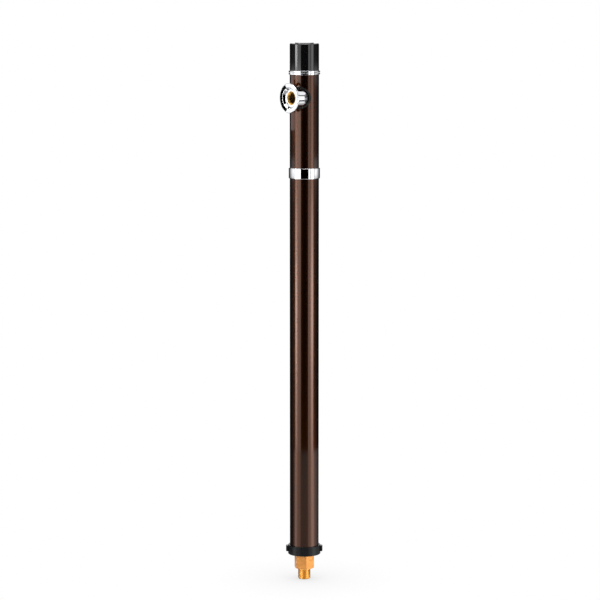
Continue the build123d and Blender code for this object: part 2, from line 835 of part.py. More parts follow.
# Cap plug: the raised disc that hides the screw
with BuildPart() as cap_plug:
    with BuildSketch(Plane.XY.offset(plug_seat)):
        Circle(plug_radius)
    extrude(amount=plug_recess + plug_rise)
    chamfer(cap_plug.edges().group_by(Axis.Z)[-1], length=plug_edge)
    with BuildSketch(Plane.XY.offset(plug_spigot_bottom)):
        Circle(handle_well_radius - tight_gap)
    extrude(amount=plug_spigot_height)
cap_plug.part.label = "cap_plug"
export_step(cap_plug.part, "parts/cap_plug.step")

# Trim ring: the bright ring at the foot of the cap, with a spigot pressed into it
with BuildPart() as handle_trim_ring:
    tube(trim_bottom, cap_bottom, trim_radius, trim_bore_radius)
    tube(cap_bottom, cap_bottom + trim_spigot_height, cap_bore_radius - tight_gap, trim_bore_radius)
handle_trim_ring.part.label = "handle_trim_ring"
export_step(handle_trim_ring.part, "parts/handle_trim_ring.step")

# Lifting parts

pin_height = (drive_nut_bottom + rod_top) / 2
pin_plane = Plane(origin=(-nut_bore_radius + pass_gap, 0, pin_height), z_dir=(1, 0, 0))
pin_length = 2 * (nut_bore_radius - pass_gap)

# Drive nut: keyed in the head's bore, screwed onto the spindle and pinned to the rod
with BuildPart() as drive_nut:
    with BuildSketch(Plane.XY.offset(drive_nut_bottom)):
        Circle(nut_bore_radius - running_gap)
        Rectangle(2 * (nut_bore_radius + key_depth - running_gap), key_width)
    extrude(amount=drive_nut_top - drive_nut_bottom)
    bore(drive_nut_bottom, rod_top, rod_radius + tight_gap)
    bore(drive_nut_floor, drive_nut_top, spindle_screw_radius + running_gap)
    with BuildSketch(pin_plane):
        Circle(rod_pin_radius + tight_gap)
    extrude(amount=pin_length + overrun, mode=Mode.SUBTRACT)
    with BuildSketch(pin_plane):
        Circle(rod_pin_radius + tight_gap)
    extrude(amount=-overrun, mode=Mode.SUBTRACT)
drive_nut.part.label = "drive_nut"
export_step(drive_nut.part, "parts/drive_nut.step")

with BuildPart() as rod_pin:
    with BuildSketch(pin_plane):
        Circle(rod_pin_radius)
    extrude(amount=pin_length)
rod_pin.part.label = "rod_pin"
export_step(rod_pin.part, "parts/rod_pin.step")

with BuildPart() as operating_rod:
    with BuildSketch(Plane.XY.offset(rod_bottom)):
        Circle(rod_radius)
    extrude(amount=rod_top - rod_bottom)
    with BuildSketch(pin_plane):
        Circle(rod_pin_radius + tight_gap)
    extrude(amount=pin_length, mode=Mode.SUBTRACT)
operating_rod.part.label = "operating_rod"
export_step(operating_rod.part, "parts/operating_rod.step")

# Rod guides: finned bushes that keep the rod straight in the riser pipe
riser_length = riser_top - riser_bottom
with BuildPart() as rod_guides:
    for share in guide_place_shares:
        place = riser_bottom + riser_length * share
        fins(
            place,
            place + guide_height,
            riser_bore_radius - pass_gap,
            guide_fin_width,
            guide_fin_count,
            rod_radius + guide_hub_wall,
        )
        bore(place, place + guide_height, rod_radius + tight_gap)
rod_guides.part.label = "rod_guides"
export_step(rod_guides.part, "parts/rod_guides.step")

# Piston: a cup for the seat washer, a neck, and a land that shuts the drain when it is up
land_radius = piston_bore_radius - running_gap
piston_groove_radius = land_radius - piston_groove_depth
ring_bottoms = (
    land_bottom + piston_ring_inset,
    land_top - piston_ring_inset - piston_ring_height,
)
flow_hole_place = (piston_groove_radius + rod_radius) / 2
flow_hole_radius = (piston_groove_radius - rod_radius) * flow_hole_share
washer_screw_head_radius = seat_hole_radius - washer_screw_side_gap
with BuildPart() as piston:
    with BuildSketch(Plane.XY.offset(piston_bottom)):
        Circle(piston_cup_radius)
    extrude(amount=cup_top - piston_bottom)
    with BuildSketch(Plane.XY.offset(cup_top)):
        Circle(piston_neck_radius)
    extrude(amount=piston_neck_height)
    with BuildSketch(Plane.XY.offset(land_bottom)):
        Circle(land_radius)
    extrude(amount=piston_land_height)
    bore(piston_bottom, washer_top, seat_washer_radius + tight_gap)
    bore(washer_top, washer_top + washer_screw_grip, washer_screw_radius + tight_gap)
    bore(rod_bottom, land_top, rod_radius + tight_gap)
    for ring_bottom in ring_bottoms:
        with BuildSketch(Plane.XY.offset(ring_bottom)):
            Circle(land_radius + overrun)
            Circle(piston_groove_radius, mode=Mode.SUBTRACT)
        extrude(amount=piston_ring_height, mode=Mode.SUBTRACT)
    with BuildSketch(Plane.XY.offset(land_bottom)):
        with PolarLocations(flow_hole_place, flow_hole_count):
            Circle(flow_hole_radius)
    extrude(amount=piston_land_height, mode=Mode.SUBTRACT)
piston.part.label = "piston"
export_step(piston.part, "parts/piston.step")

with BuildPart() as piston_rings:
    for ring_bottom in ring_bottoms:
        tube(
            ring_bottom,
            ring_bottom + piston_ring_height,
            piston_bore_radius - tight_gap,
            piston_groove_radius + tight_gap,
        )
piston_rings.part.label = "piston_rings"
export_step(piston_rings.part, "parts/piston_rings.step")

with BuildPart() as seat_washer:
    tube(seat_top, washer_top, seat_washer_radius, washer_screw_radius + tight_gap)
seat_washer.part.label = "seat_washer"
export_step(seat_washer.part, "parts/seat_washer.step")

with BuildPart() as washer_screw:
    with BuildSketch(Plane.XY.offset(seat_top)):
        Circle(washer_screw_head_radius)
    extrude(amount=-washer_screw_head_height)
    with BuildSketch(Plane.XY.offset(seat_top)):
        Circle(washer_screw_radius)
    extrude(amount=seat_washer_height + washer_screw_grip)
washer_screw.part.label = "washer_screw"
export_step(washer_screw.part, "parts/washer_screw.step")
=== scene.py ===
"""Garden standpipe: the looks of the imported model.

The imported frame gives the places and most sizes. What it doesn't hold, such as the form of a
thread or a wall that another piece hides, is a named size here. Each sub-assembly is a class that
models its pieces, gives them their finishes and hands each one to the body that carries it.
Lengths are in metres, and the frame is that of the solids: +Z up, the tap socket facing -Y.
"""

import json
import logging
import math
from dataclasses import dataclass, field
from enum import Enum
from typing import Any, Sequence

import bmesh
import bpy
from mathutils import Matrix, Vector


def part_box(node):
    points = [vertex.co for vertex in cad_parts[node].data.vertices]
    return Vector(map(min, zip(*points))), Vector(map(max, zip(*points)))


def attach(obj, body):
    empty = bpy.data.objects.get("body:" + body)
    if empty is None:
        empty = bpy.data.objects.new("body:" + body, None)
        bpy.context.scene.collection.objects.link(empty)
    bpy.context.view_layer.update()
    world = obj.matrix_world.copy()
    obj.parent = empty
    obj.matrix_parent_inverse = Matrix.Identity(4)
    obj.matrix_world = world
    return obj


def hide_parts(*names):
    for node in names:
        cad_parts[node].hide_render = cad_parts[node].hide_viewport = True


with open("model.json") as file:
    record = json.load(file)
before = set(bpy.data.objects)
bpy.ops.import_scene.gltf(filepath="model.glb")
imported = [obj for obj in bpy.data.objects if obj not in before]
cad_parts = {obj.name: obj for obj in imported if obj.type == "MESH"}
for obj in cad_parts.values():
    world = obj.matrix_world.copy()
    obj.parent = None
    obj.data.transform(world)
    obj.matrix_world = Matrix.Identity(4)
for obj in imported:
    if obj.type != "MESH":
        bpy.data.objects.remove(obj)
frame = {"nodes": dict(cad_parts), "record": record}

log = logging.getLogger("standpipe")

MM = 0.001
ROUND_STEPS = 180
ROUNDING_STEPS = 4
SUPPORT = 0.25 * MM
MERGE_GAP = 0.002 * MM
ON_AXIS = 0.001 * MM
SHARP_ANGLE = math.radians(28)
OVERRUN = 4 * MM
COARSE_STEPS = 48
DRILL_STEPS = 32
HAIR_EDGE = 0.1 * MM
KEEN_EDGE = 0.15 * MM
FINE_EDGE = 0.2 * MM
SOFT_EDGE = 0.3 * MM
PRESSED_EDGE = 0.35 * MM
RING_EDGE = 0.45 * MM
BROAD_EDGE = 0.5 * MM
WALL_RAYS = ("camera", "shadow", "transmission")
CARD_RAYS = (*WALL_RAYS, "diffuse")
MASK_RANGE = (0.3, 0.7)
PATCH_RANGE = (0.5, 0.8)

BMesh = bmesh.types.BMesh
Socket = bpy.types.NodeSocket
Colour = tuple[float, float, float, float]
Stops = Sequence[tuple[float, float]]


class Body(Enum):
    """The bodies of the frame that pieces ride on."""

    COLUMN = "column"
    HANDLE = "handle"


class Cut(Enum):
    """What a tool does to the work that it is laid on."""

    ADD = "UNION"
    TAKE = "DIFFERENCE"
    KEEP = "INTERSECT"


@dataclass(frozen=True)
class Extent:
    """The box of one node of the frame."""

    low: Vector
    high: Vector

    @classmethod
    def of(cls, node: str) -> "Extent":
        """Reads the box of a node.

        Args:
            node: The node's name in the frame.

        Returns:
            Its box.
        """
        low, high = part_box(node)
        return cls(low, high)

    @property
    def bottom(self) -> float:
        """The lowest height."""
        return self.low.z

    @property
    def top(self) -> float:
        """The greatest height."""
        return self.high.z

    @property
    def middle(self) -> Vector:
        """The centre of the box."""
        return (self.low + self.high) / 2

    @property
    def radius(self) -> float:
        """Half the width along X."""
        return (self.high.x - self.low.x) / 2


def box_of(node: str) -> Any:
    """A field that holds the box of a node of the frame."""
    return field(default_factory=lambda: Extent.of(node))


@dataclass(frozen=True)
class Seat:
    """Where a piece's own axis stands: its foot, and the turn that takes +Z to the axis."""

    centre: Vector
    turn: tuple[float, float, float]

    @property
    def matrix(self) -> Matrix:
        """The matrix that takes an upright piece to its place."""
        turned_axes = [Matrix.Rotation(angle, 4, axis) for angle, axis in zip(self.turn, "XYZ")]
        return Matrix.Translation(self.centre) @ turned_axes[2] @ turned_axes[1] @ turned_axes[0]


UPRIGHT = Seat(Vector((0.0, 0.0, 0.0)), (0.0, 0.0, 0.0))


@dataclass(frozen=True)
class Corner:
    """One corner of a turned section: its radius, its height and how much it is rounded."""

    radius: float
    height: float
    rounding: float = 0.0


def eased(work: BMesh, geom: Sequence[Any], rounding: float, affect: str = "EDGES") -> None:
    """Rounds edges, or the corners of a section.

    Args:
        work: The mesh.
        geom: Its edges or corners.
        rounding: How much they are rounded.
        affect: EDGES or VERTICES.
    """
    bmesh.ops.bevel(
        work,
        geom=geom,
        offset=rounding,
        offset_type="OFFSET",
        segments=ROUNDING_STEPS,
        profile=0.5,
        affect=affect,
        material=-1,
    )


def spun(
    work: BMesh,
    geom: Sequence[Any],
    angle: float,
    steps: int,
    rise: float = 0.0,
    closed: bool = False,
) -> None:
    """Spins geometry about the upright axis.

    Args:
        work: The mesh.
        geom: What is spun.
        angle: How far, in radians.
        steps: In how many steps.
        rise: How far each step climbs.
        closed: Whether the last step meets the first.
    """
    bmesh.ops.spin(
        work,
        geom=geom,
        cent=(0, 0, 0),
        axis=(0, 0, 1),
        dvec=(0, 0, rise),
        angle=angle,
        steps=steps,
        use_merge=closed,
    )


def turned(
    section: Sequence[Corner], seat: Seat = UPRIGHT, steps: int = ROUND_STEPS
) -> BMesh:
    """Turns a closed section about an axis.

    Args:
        section: The corners in order, on one side of the axis.
        seat: Where the axis stands.
        steps: How many flats go round.

    Returns:
        The closed mesh, its faces outwards.
    """
    work = bmesh.new()
    corners = [work.verts.new((corner.radius, 0.0, corner.height)) for corner in section]
    work.faces.new(corners)
    for rounding in sorted({corner.rounding for corner in section if corner.rounding}):
        alike = [vert for vert, corner in zip(corners, section) if corner.rounding == rounding]
        eased(work, alike, rounding, "VERTICES")
    bmesh.ops.delete(work, geom=work.faces[:], context="FACES_ONLY")
    inner = [e for e in work.edges if all(vert.co.x < ON_AXIS for vert in e.verts)]
    bmesh.ops.delete(work, geom=inner, context="EDGES")
    for edge in list(work.edges):
        length = edge.calc_length()
        if length > 4 * SUPPORT:
            start, end = edge.verts
            other, _ = bmesh.utils.edge_split(edge, start, SUPPORT / length)
            rest = edge if end in edge.verts else other
            bmesh.utils.edge_split(rest, end, SUPPORT / (length - SUPPORT))
    spun(work, work.verts[:] + work.edges[:], math.tau, steps, closed=True)
    return settled(work, seat)


def settled(work: BMesh, seat: Seat = UPRIGHT) -> BMesh:
    """Merges doubles, turns the faces outwards and takes the mesh to its seat.

    Args:
        work: The mesh, upright and about the origin.
        seat: Where it goes.

    Returns:
        The same mesh.
    """
    bmesh.ops.remove_doubles(work, verts=work.verts[:], dist=MERGE_GAP)
    bmesh.ops.recalc_face_normals(work, faces=work.faces[:])
    bmesh.ops.transform(work, matrix=seat.matrix, verts=work.verts[:])
    return work


def rod(
    radius: float, bottom: float, top: float, seat: Seat = UPRIGHT, steps: int = ROUND_STEPS
) -> BMesh:
    """A plain round bar between two heights of its seat."""
    section = [Corner(0, bottom), Corner(radius, bottom), Corner(radius, top), Corner(0, top)]
    return turned(section, seat, steps)


def tube_section(
    outer: float, inner: float, bottom: float, top: float, edge: float = 0.0
) -> list[Corner]:
    """The section of a plain tube, its outer edges rounded.

    Args:
        outer: The outer radius.
        inner: The inner radius.
        bottom: The lower height.
        top: The upper height.
        edge: How much the outer edges are rounded.

    Returns:
        Its four corners.
    """
    return [
        Corner(inner, bottom),
        Corner(outer, bottom, edge),
        Corner(outer, top, edge),
        Corner(inner, top),
    ]


def placed_object(name: str, work: BMesh) -> bpy.types.Object:
    """Puts a mesh in the scene as an object, and frees it.

    Args:
        name: The object's name.
        work: The mesh, which is used up.

    Returns:
        The object.
    """
    mesh = bpy.data.meshes.new(name)
    work.to_mesh(mesh)
    work.free()
    made = bpy.data.objects.new(name, mesh)
    bpy.context.scene.collection.objects.link(made)
    return made


def combined(work: BMesh, tool: BMesh, cut: Cut) -> BMesh:
    """Joins, cuts or trims one closed mesh with another. Both are used up.

    Args:
        work: The mesh that is changed.
        tool: The mesh that changes it.
        cut: What the tool does.

    Returns:
        The new mesh.
    """
    stock, blade = placed_object("stock", work), placed_object("blade", tool)
    boolean = stock.modifiers.new("cut", "BOOLEAN")
    boolean.operation = cut.value
    boolean.solver = "EXACT"
    boolean.object = blade
    bpy.context.view_layer.update()
    evaluated = stock.evaluated_get(bpy.context.evaluated_depsgraph_get())
    mesh = bpy.data.meshes.new_from_object(evaluated)
    result = bmesh.new()
    result.from_mesh(mesh)
    bpy.data.meshes.remove(mesh)
    for used in (stock, blade):
        data = used.data
        bpy.data.objects.remove(used)
        bpy.data.meshes.remove(data)
    bmesh.ops.remove_doubles(result, verts=result.verts[:], dist=MERGE_GAP)
    return result


@dataclass(frozen=True)
class PipeThread:
    """The half-inch pipe thread, as radii and the pitch of its one start."""

    crest: float = 10.4775 * MM
    root: float = 9.3155 * MM
    pitch: float = 1.8143 * MM
    steps: int = 96
    turns_below: int = 2
    spare_turns: int = 3
    flank_points: tuple[tuple[float, float], ...] = (
        (0.0, 0.0),
        (0.08, 0.05),
        (0.42, 0.95),
        (0.5, 1.0),
        (0.58, 0.95),
        (0.92, 0.05),
        (1.0, 0.0),
    )

    def bar(
        self, bottom: float, top: float, lead: float, run_out: float, seat: Seat = UPRIGHT
    ) -> BMesh:
        """A closed threaded bar.

        Args:
            bottom: The height where it starts.
            top: The height where it ends.
            lead: The height of the cone at the start.
            run_out: The height over which the thread fades at its end.
            seat: Where its axis stands.

        Returns:
            The bar's mesh.
        """
        work = bmesh.new()
        depth = self.crest - self.root
        start = bottom - self.turns_below * self.pitch
        points = [
            work.verts.new((self.root + share * depth, 0.0, start + along * self.pitch))
            for along, share in self.flank_points
        ]
        edges = [work.edges.new(pair) for pair in zip(points, points[1:])]
        turns = math.ceil((top - bottom) / self.pitch) + self.spare_turns
        climb = self.pitch / self.steps
        spun(work, points + edges, math.tau * turns, self.steps * turns, climb)
        bmesh.ops.remove_doubles(work, verts=work.verts[:], dist=MERGE_GAP)
        for height, keep_above in ((bottom, True), (top, False)):
            bmesh.ops.bisect_plane(
                work,
                geom=work.verts[:] + work.edges[:] + work.faces[:],
                plane_co=(0, 0, height),
                plane_no=(0, 0, 1),
                clear_inner=keep_above,
                clear_outer=not keep_above,
            )
        for vert in work.verts:
            radius = math.hypot(vert.co.x, vert.co.y)
            cone = self.root + (vert.co.z - bottom) / lead * depth if lead else self.crest
            fade = (top - vert.co.z) / run_out if run_out else 1.0
            ceiling = min(self.crest, cone)
            floor = self.root + depth * max(0.0, 1 - fade) if run_out else self.root
            wanted = max(min(radius, ceiling), min(floor, self.crest))
            vert.co.x *= wanted / radius
            vert.co.y *= wanted / radius
        rims = [edge for edge in work.edges if edge.is_boundary]
        for height in (bottom, top):
            rim = [e for e in rims if all(abs(v.co.z - height) < MERGE_GAP for v in e.verts)]
            bmesh.ops.holes_fill(work, edges=rim, sides=0)
        return settled(work, seat)


def hexagon_waste(
    flats: float, corner_turn: float, rounding: float, bottom: float, top: float
) -> BMesh:
    """The metal that a mill takes off a round bar to leave a hexagon.

    Args:
        flats: The width over the flats.
        corner_turn: The direction of one corner, in degrees.
        rounding: How much the corners are eased.
        bottom: The lower height.
        top: The upper height.

    Returns:
        A ring, round outside and hexagonal inside.
    """
    work = bmesh.new()
    turn = Matrix.Rotation(math.radians(corner_turn - 90), 4, "Z")
    lift = Matrix.Translation((0, 0, bottom))
    for radius in (flats / math.sqrt(3), 2 * flats):
        bmesh.ops.create_circle(work, radius=radius, segments=6, matrix=lift @ turn)
    ring = bmesh.ops.bridge_loops(work, edges=work.edges[:])
    risen = bmesh.ops.extrude_face_region(work, geom=ring["faces"], use_keep_orig=True)
    tops = [item for item in risen["geom"] if isinstance(item, bmesh.types.BMVert)]
    bmesh.ops.translate(work, vec=(0, 0, top - bottom), verts=tops)
    bmesh.ops.recalc_face_normals(work, faces=work.faces[:])
    corners = [
        edge
        for edge in work.edges
        if abs(edge.verts[0].co.z - edge.verts[1].co.z) > (top - bottom) / 2
        and edge.verts[0].co.xy.length < flats
    ]
    eased(work, corners, rounding)
    return work


def finished_piece(
    work: BMesh,
    name: str,
    body: Body,
    finish: "Finish",
    node: str,
    seat: Seat = UPRIGHT,
) -> None:
    """Shades a mesh, gives it its finish and hangs it on its body.

    Args:
        work: The mesh, which is used up.
        name: The piece's name.
        body: The body that carries it.
        finish: Its finish.
        node: The node of the frame that it stands for.
        seat: The axis that its finish follows.
    """
    for face in work.faces:
        face.smooth = True
    for edge in work.edges:
        edge.smooth = len(edge.link_faces) != 2 or edge.calc_face_angle(0.0) < SHARP_ANGLE
    piece = placed_object(name, work)
    piece.data.materials.append(finish.material(seat))
    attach(piece, body.value)
    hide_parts(node)
    triangles = sum(len(face.vertices) - 2 for face in piece.data.polygons)
    log.info("%s: %d triangles on %s", piece.name, triangles, body.value)


class Graph:
    """Short calls that build one node tree."""

    def __init__(self, tree: bpy.types.NodeTree) -> None:
        """Keeps the tree that the calls add to."""
        self.tree = tree

    @classmethod
    def emptied(cls, owner: bpy.types.Material | bpy.types.World) -> "Graph":
        """Starts the tree of a material or world afresh.

        Args:
            owner: The material or world.

        Returns:
            The graph of its empty tree.
        """
        owner.use_nodes = True
        owner.node_tree.nodes.clear()
        return cls(owner.node_tree)

    def fill(self, made: bpy.types.Node, values: dict) -> None:
        """Puts values or other sockets into a node's inputs.

        Args:
            made: The node.
            values: A value or a socket for each input, by name or number.
        """
        for name, value in values.items():
            socket = made.inputs[name]
            if isinstance(value, Socket):
                self.tree.links.new(value, socket)
            else:
                socket.default_value = value

    def node(self, kind: str, values: dict | None = None, **settings: Any) -> bpy.types.Node:
        """Adds a node.

        Args:
            kind: The node's type.
            values: What goes into its inputs, by name or number: a value or another socket.
            **settings: The node's own settings.

        Returns:
            The node.
        """
        made = self.tree.nodes.new(kind)
        for name, value in settings.items():
            setattr(made, name, value)
        self.fill(made, values or {})
        return made

    def math(self, operation: str, *terms: Any) -> Socket:
        """Adds a Math node and gives its result."""
        made = self.node("ShaderNodeMath", dict(enumerate(terms)), operation=operation)
        return made.outputs[0]

    def dot(self, first: Any, second: Any) -> Socket:
        """Multiplies two vectors into one number."""
        values = {0: first, 1: second}
        return self.node("ShaderNodeVectorMath", values, operation="DOT_PRODUCT").outputs["Value"]

    def parts(self, vector: Any) -> Sequence[Socket]:
        """Splits a vector into its three numbers."""
        return self.node("ShaderNodeSeparateXYZ", {0: vector}).outputs

    def noise(
        self, vector: Any, scale: Any, detail: float = 2.0, roughness: float = 0.5
    ) -> Socket:
        """Adds a noise and gives its value, which lies about a half."""
        values = {"Vector": vector, "Scale": scale, "Detail": detail, "Roughness": roughness}
        return self.node("ShaderNodeTexNoise", values).outputs[0]

    def span(
        self, value: Any, low: float, high: float, to_low: float = 0.0, to_high: float = 1.0
    ) -> Socket:
        """Maps one range onto another, clamped."""
        values = {0: value, 1: low, 2: high, 3: to_low, 4: to_high}
        return self.node("ShaderNodeMapRange", values).outputs[0]

    def mixed(self, factor: Any, first: Any, second: Any) -> Socket:
        """Mixes two colours."""
        values = {0: factor, 6: first, 7: second}
        return self.node("ShaderNodeMix", values, data_type="RGBA").outputs[2]

    def steps(self, value: Any, stops: Stops) -> Socket:
        """Reads a level from a curve of stops.

        Args:
            value: The place on the curve, from 0 to 1.
            stops: Places and levels.

        Returns:
            The level.
        """
        ramp = self.node("ShaderNodeValToRGB", {0: value})
        ramp.color_ramp.interpolation = "EASE"
        elements = ramp.color_ramp.elements
        while len(elements) < len(stops):
            elements.new(1.0)
        for element, (place, level) in zip(elements, stops):
            element.position = place
            element.color = (level, level, level, 1.0)
        return ramp.outputs[0]

    def surface(self, shader: Socket) -> None:
        """Ends a material in its shader."""
        self.node("ShaderNodeOutputMaterial", {"Surface": shader}, is_active_output=True)

    def glow(self, values: dict) -> None:
        """Ends a material as a plain light."""
        self.surface(self.node("ShaderNodeEmission", values).outputs[0])


class Effect(Enum):
    """Surface effects that finishes share: each one's name, its number and what it gives."""

    FINE_GRAIN = ("fine_grain", "Scale", "Value")
    EDGE_WEAR = ("edge_wear", "Width", "Mask")
    TURNING_MARKS = ("turning_marks", "Pitch", "Value")
    DRAW_LINES = ("draw_lines", "Fineness", "Value")
    ORANGE_PEEL = ("orange_peel", "Scale", "Value")
    SETTLED_DUST = ("settled_dust", "Amount", "Mask")


class Effects:
    """Builds each shared effect once, as a node group, and places it in materials."""

    def __init__(self) -> None:
        """Starts with no group built."""
        self.trees: dict[Effect, bpy.types.NodeTree] = {}

    def tree(self, effect: Effect) -> bpy.types.NodeTree:
        """Gives an effect's node group, built on the first call.

        Args:
            effect: The effect.

        Returns:
            Its node group, with a vector and a number in and one value out.
        """
        if effect not in self.trees:
            name, number, result = effect.value
            tree = bpy.data.node_groups.new(name, "ShaderNodeTree")
            for label, way, kind in (
                ("Vector", "INPUT", "NodeSocketVector"),
                (number, "INPUT", "NodeSocketFloat"),
                (result, "OUTPUT", "NodeSocketFloat"),
            ):
                tree.interface.new_socket(label, in_out=way, socket_type=kind)
            graph = Graph(tree)
            given = graph.node("NodeGroupInput").outputs
            value = getattr(self, name)(graph, given["Vector"], given[number])
            graph.node("NodeGroupOutput", {0: value})
            self.trees[effect] = tree
        return self.trees[effect]

    def place(self, graph: Graph, effect: Effect, values: dict) -> Socket:
        """Places an effect in a material and gives what it puts out."""
        node = graph.node("ShaderNodeGroup", values, node_tree=self.tree(effect))
        return node.outputs[0]

    @staticmethod
    def fine_grain(graph: Graph, vector: Socket, scale: Socket) -> Socket:
        """An even grain of a given scale."""
        return graph.noise(vector, scale, 5.0, 0.6)

    @staticmethod
    def edge_wear(graph: Graph, vector: Socket, width: Socket) -> Socket:
        """A broken line along the edges.

        Args:
            graph: The group's graph.
            vector: The place on the piece.
            width: The line's width.

        Returns:
            The mask.
        """
        rounded = graph.node("ShaderNodeBevel", {"Radius": width}, samples=4)
        plain = graph.node("ShaderNodeNewGeometry").outputs["Normal"]
        turned_away = graph.span(graph.dot(rounded.outputs[0], plain), 0.995, 0.9)
        broken = graph.span(graph.noise(vector, 700.0, 3.0), 0.42, 0.62)
        return graph.math("MULTIPLY", turned_away, broken)

    @staticmethod
    def turning_marks(graph: Graph, vector: Socket, pitch: Socket) -> Socket:
        """The rings that a lathe tool leaves, about the vector's own Z.

        Args:
            graph: The group's graph.
            vector: The place on the piece.
            pitch: The distance between two rings.

        Returns:
            The rings' height.
        """
        parts = graph.parts(vector)
        squares = [graph.math("MULTIPLY", parts[i], parts[i]) for i in (0, 1)]
        radius = graph.math("SQRT", graph.math("ADD", *squares))
        across = graph.math("DIVIDE", radius, pitch)
        along = graph.math("DIVIDE", parts[2], pitch)
        rings = graph.node("ShaderNodeCombineXYZ", {0: across, 2: along})
        fine = graph.noise(rings.outputs[0], 1.0, 2.0, 0.6)
        uneven = graph.noise(vector, 120.0, 1.0)
        shares = ((fine, 0.8), (uneven, 0.2))
        return graph.math("ADD", *(graph.math("MULTIPLY", *share) for share in shares))

    @staticmethod
    def draw_lines(graph: Graph, vector: Socket, fineness: Socket) -> Socket:
        """Faint lines along the vector's own Z, as a drawn pipe has.

        Args:
            graph: The group's graph.
            vector: The place on the piece.
            fineness: How close the lines lie.

        Returns:
            The lines' height.
        """
        values = {0: vector, 1: (1.0, 1.0, 0.02)}
        drawn = graph.node("ShaderNodeVectorMath", values, operation="MULTIPLY")
        return graph.noise(drawn.outputs[0], fineness, 3.0, 0.55)

    @staticmethod
    def orange_peel(graph: Graph, vector: Socket, scale: Socket) -> Socket:
        """The shallow waves of a baked coat."""
        return graph.noise(vector, scale, 1.0, 0.35)

    @staticmethod
    def settled_dust(graph: Graph, vector: Socket, amount: Socket) -> Socket:
        """Patches of dust on what faces up.

        Args:
            graph: The group's graph.
            vector: The place on the piece.
            amount: How much dust lies there.

        Returns:
            The mask.
        """
        upward = graph.parts(graph.node("ShaderNodeNewGeometry").outputs["Normal"])[2]
        patches = graph.span(graph.noise(vector, 90.0, 4.0), 0.4, 0.7)
        lying = graph.math("MULTIPLY", graph.span(upward, 0.6, 1.0), patches)
        return graph.math("MULTIPLY", lying, amount)


EFFECTS = Effects()


@dataclass(frozen=True)
class Surface:
    """A material in the making: its graph, its shader and the place about the piece's own axis."""

    graph: Graph
    shader: bpy.types.Node
    own: Socket

    def effect(self, effect: Effect, number: float) -> Socket:
        """Places an effect with its number, about the piece's own axis."""
        values = {"Vector": self.own, effect.value[1]: number}
        return EFFECTS.place(self.graph, effect, values)

    def grains(self, *scales: float) -> list[Socket]:
        """Places one fine grain for each scale."""
        return [self.effect(Effect.FINE_GRAIN, scale) for scale in scales]

    def share(self, mask: Socket, share: float, under: Any, over: Any) -> Socket:
        """Lays a part of one colour over another, where a mask says."""
        return self.graph.mixed(self.graph.math("MULTIPLY", mask, share), under, over)

    def worn(self, width: float, share: float, under: Any, over: Any) -> Socket:
        """Lays a part of a colour along the edges, where they are worn."""
        return self.share(self.effect(Effect.EDGE_WEAR, width), share, under, over)

    def dusted(self, amount: float, under: Any, dust: Colour) -> Socket:
        """Lets dust settle on what faces up."""
        return self.graph.mixed(self.effect(Effect.SETTLED_DUST, amount), under, dust)

    def patched(self, mask: Socket, most: float, under: Any, over: Any) -> Socket:
        """Lays a colour over another in patches.

        Args:
            mask: The noise that places the patches.
            most: The greatest share of the colour on top.
            under: The colour below.
            over: The colour on top.

        Returns:
            The patched colour.
        """
        factor = self.graph.span(mask, *PATCH_RANGE, 0.0, most)
        return self.graph.mixed(factor, under, over)

    def bumped(self, height: Socket, strength: float, depth: float) -> Socket:
        """Adds a bump of a given depth and gives its normal."""
        values = {"Height": height, "Strength": strength, "Distance": depth}
        return self.graph.node("ShaderNodeBump", values).outputs[0]

    def feed(self, colour: Socket, roughness: Socket, normal: Socket, values: dict) -> None:
        """Feeds the shader.

        Args:
            colour: The base colour.
            roughness: The roughness.
            normal: The normal.
            values: What its other inputs get, by name.
        """
        inputs = {"Base Color": colour, "Roughness": roughness, "Normal": normal, **values}
        self.graph.fill(self.shader, inputs)


@dataclass(frozen=True)
class Finish:
    """A finish: the record's slot that it dresses and its main colour."""

    slot: str
    colour: Colour
    roughness: float = 0.4

    def material(self, seat: Seat) -> bpy.types.Material:
        """Builds the material for pieces about one axis, once.

        Args:
            seat: The axis that marks and grain follow.

        Returns:
            The material.
        """
        place = "_".join(f"{value / MM:.0f}" for value in seat.centre)
        name = f"{self.slot}.{place}"
        if name in bpy.data.materials:
            return bpy.data.materials[name]
        made = bpy.data.materials.new(name)
        made.diffuse_color = self.colour
        graph = Graph.emptied(made)
        where = graph.node("ShaderNodeTexCoord").outputs["Object"]
        values = {"Vector": where, "Location": seat.centre, "Rotation": seat.turn}
        own = graph.node("ShaderNodeMapping", values, vector_type="TEXTURE").outputs[0]
        shader = graph.node("ShaderNodeBsdfPrincipled", {"Roughness": self.roughness})
        graph.surface(shader.outputs[0])
        self.paint(Surface(graph, shader, own))
        return made

    def paint(self, on: Surface) -> None:
        """Feeds the shader. Each kind of finish has its own."""
        raise NotImplementedError

    def shade(self, factor: float) -> Colour:
        """The main colour, lighter or darker."""
        return (*(min(1.0, part * factor) for part in self.colour[:3]), 1.0)

    def toned(self, graph: Graph, mask: Socket, dark: float, light: float) -> Socket:
        """Runs from a darker to a lighter main colour, as a mask says."""
        return graph.mixed(graph.span(mask, *MASK_RANGE), self.shade(dark), self.shade(light))


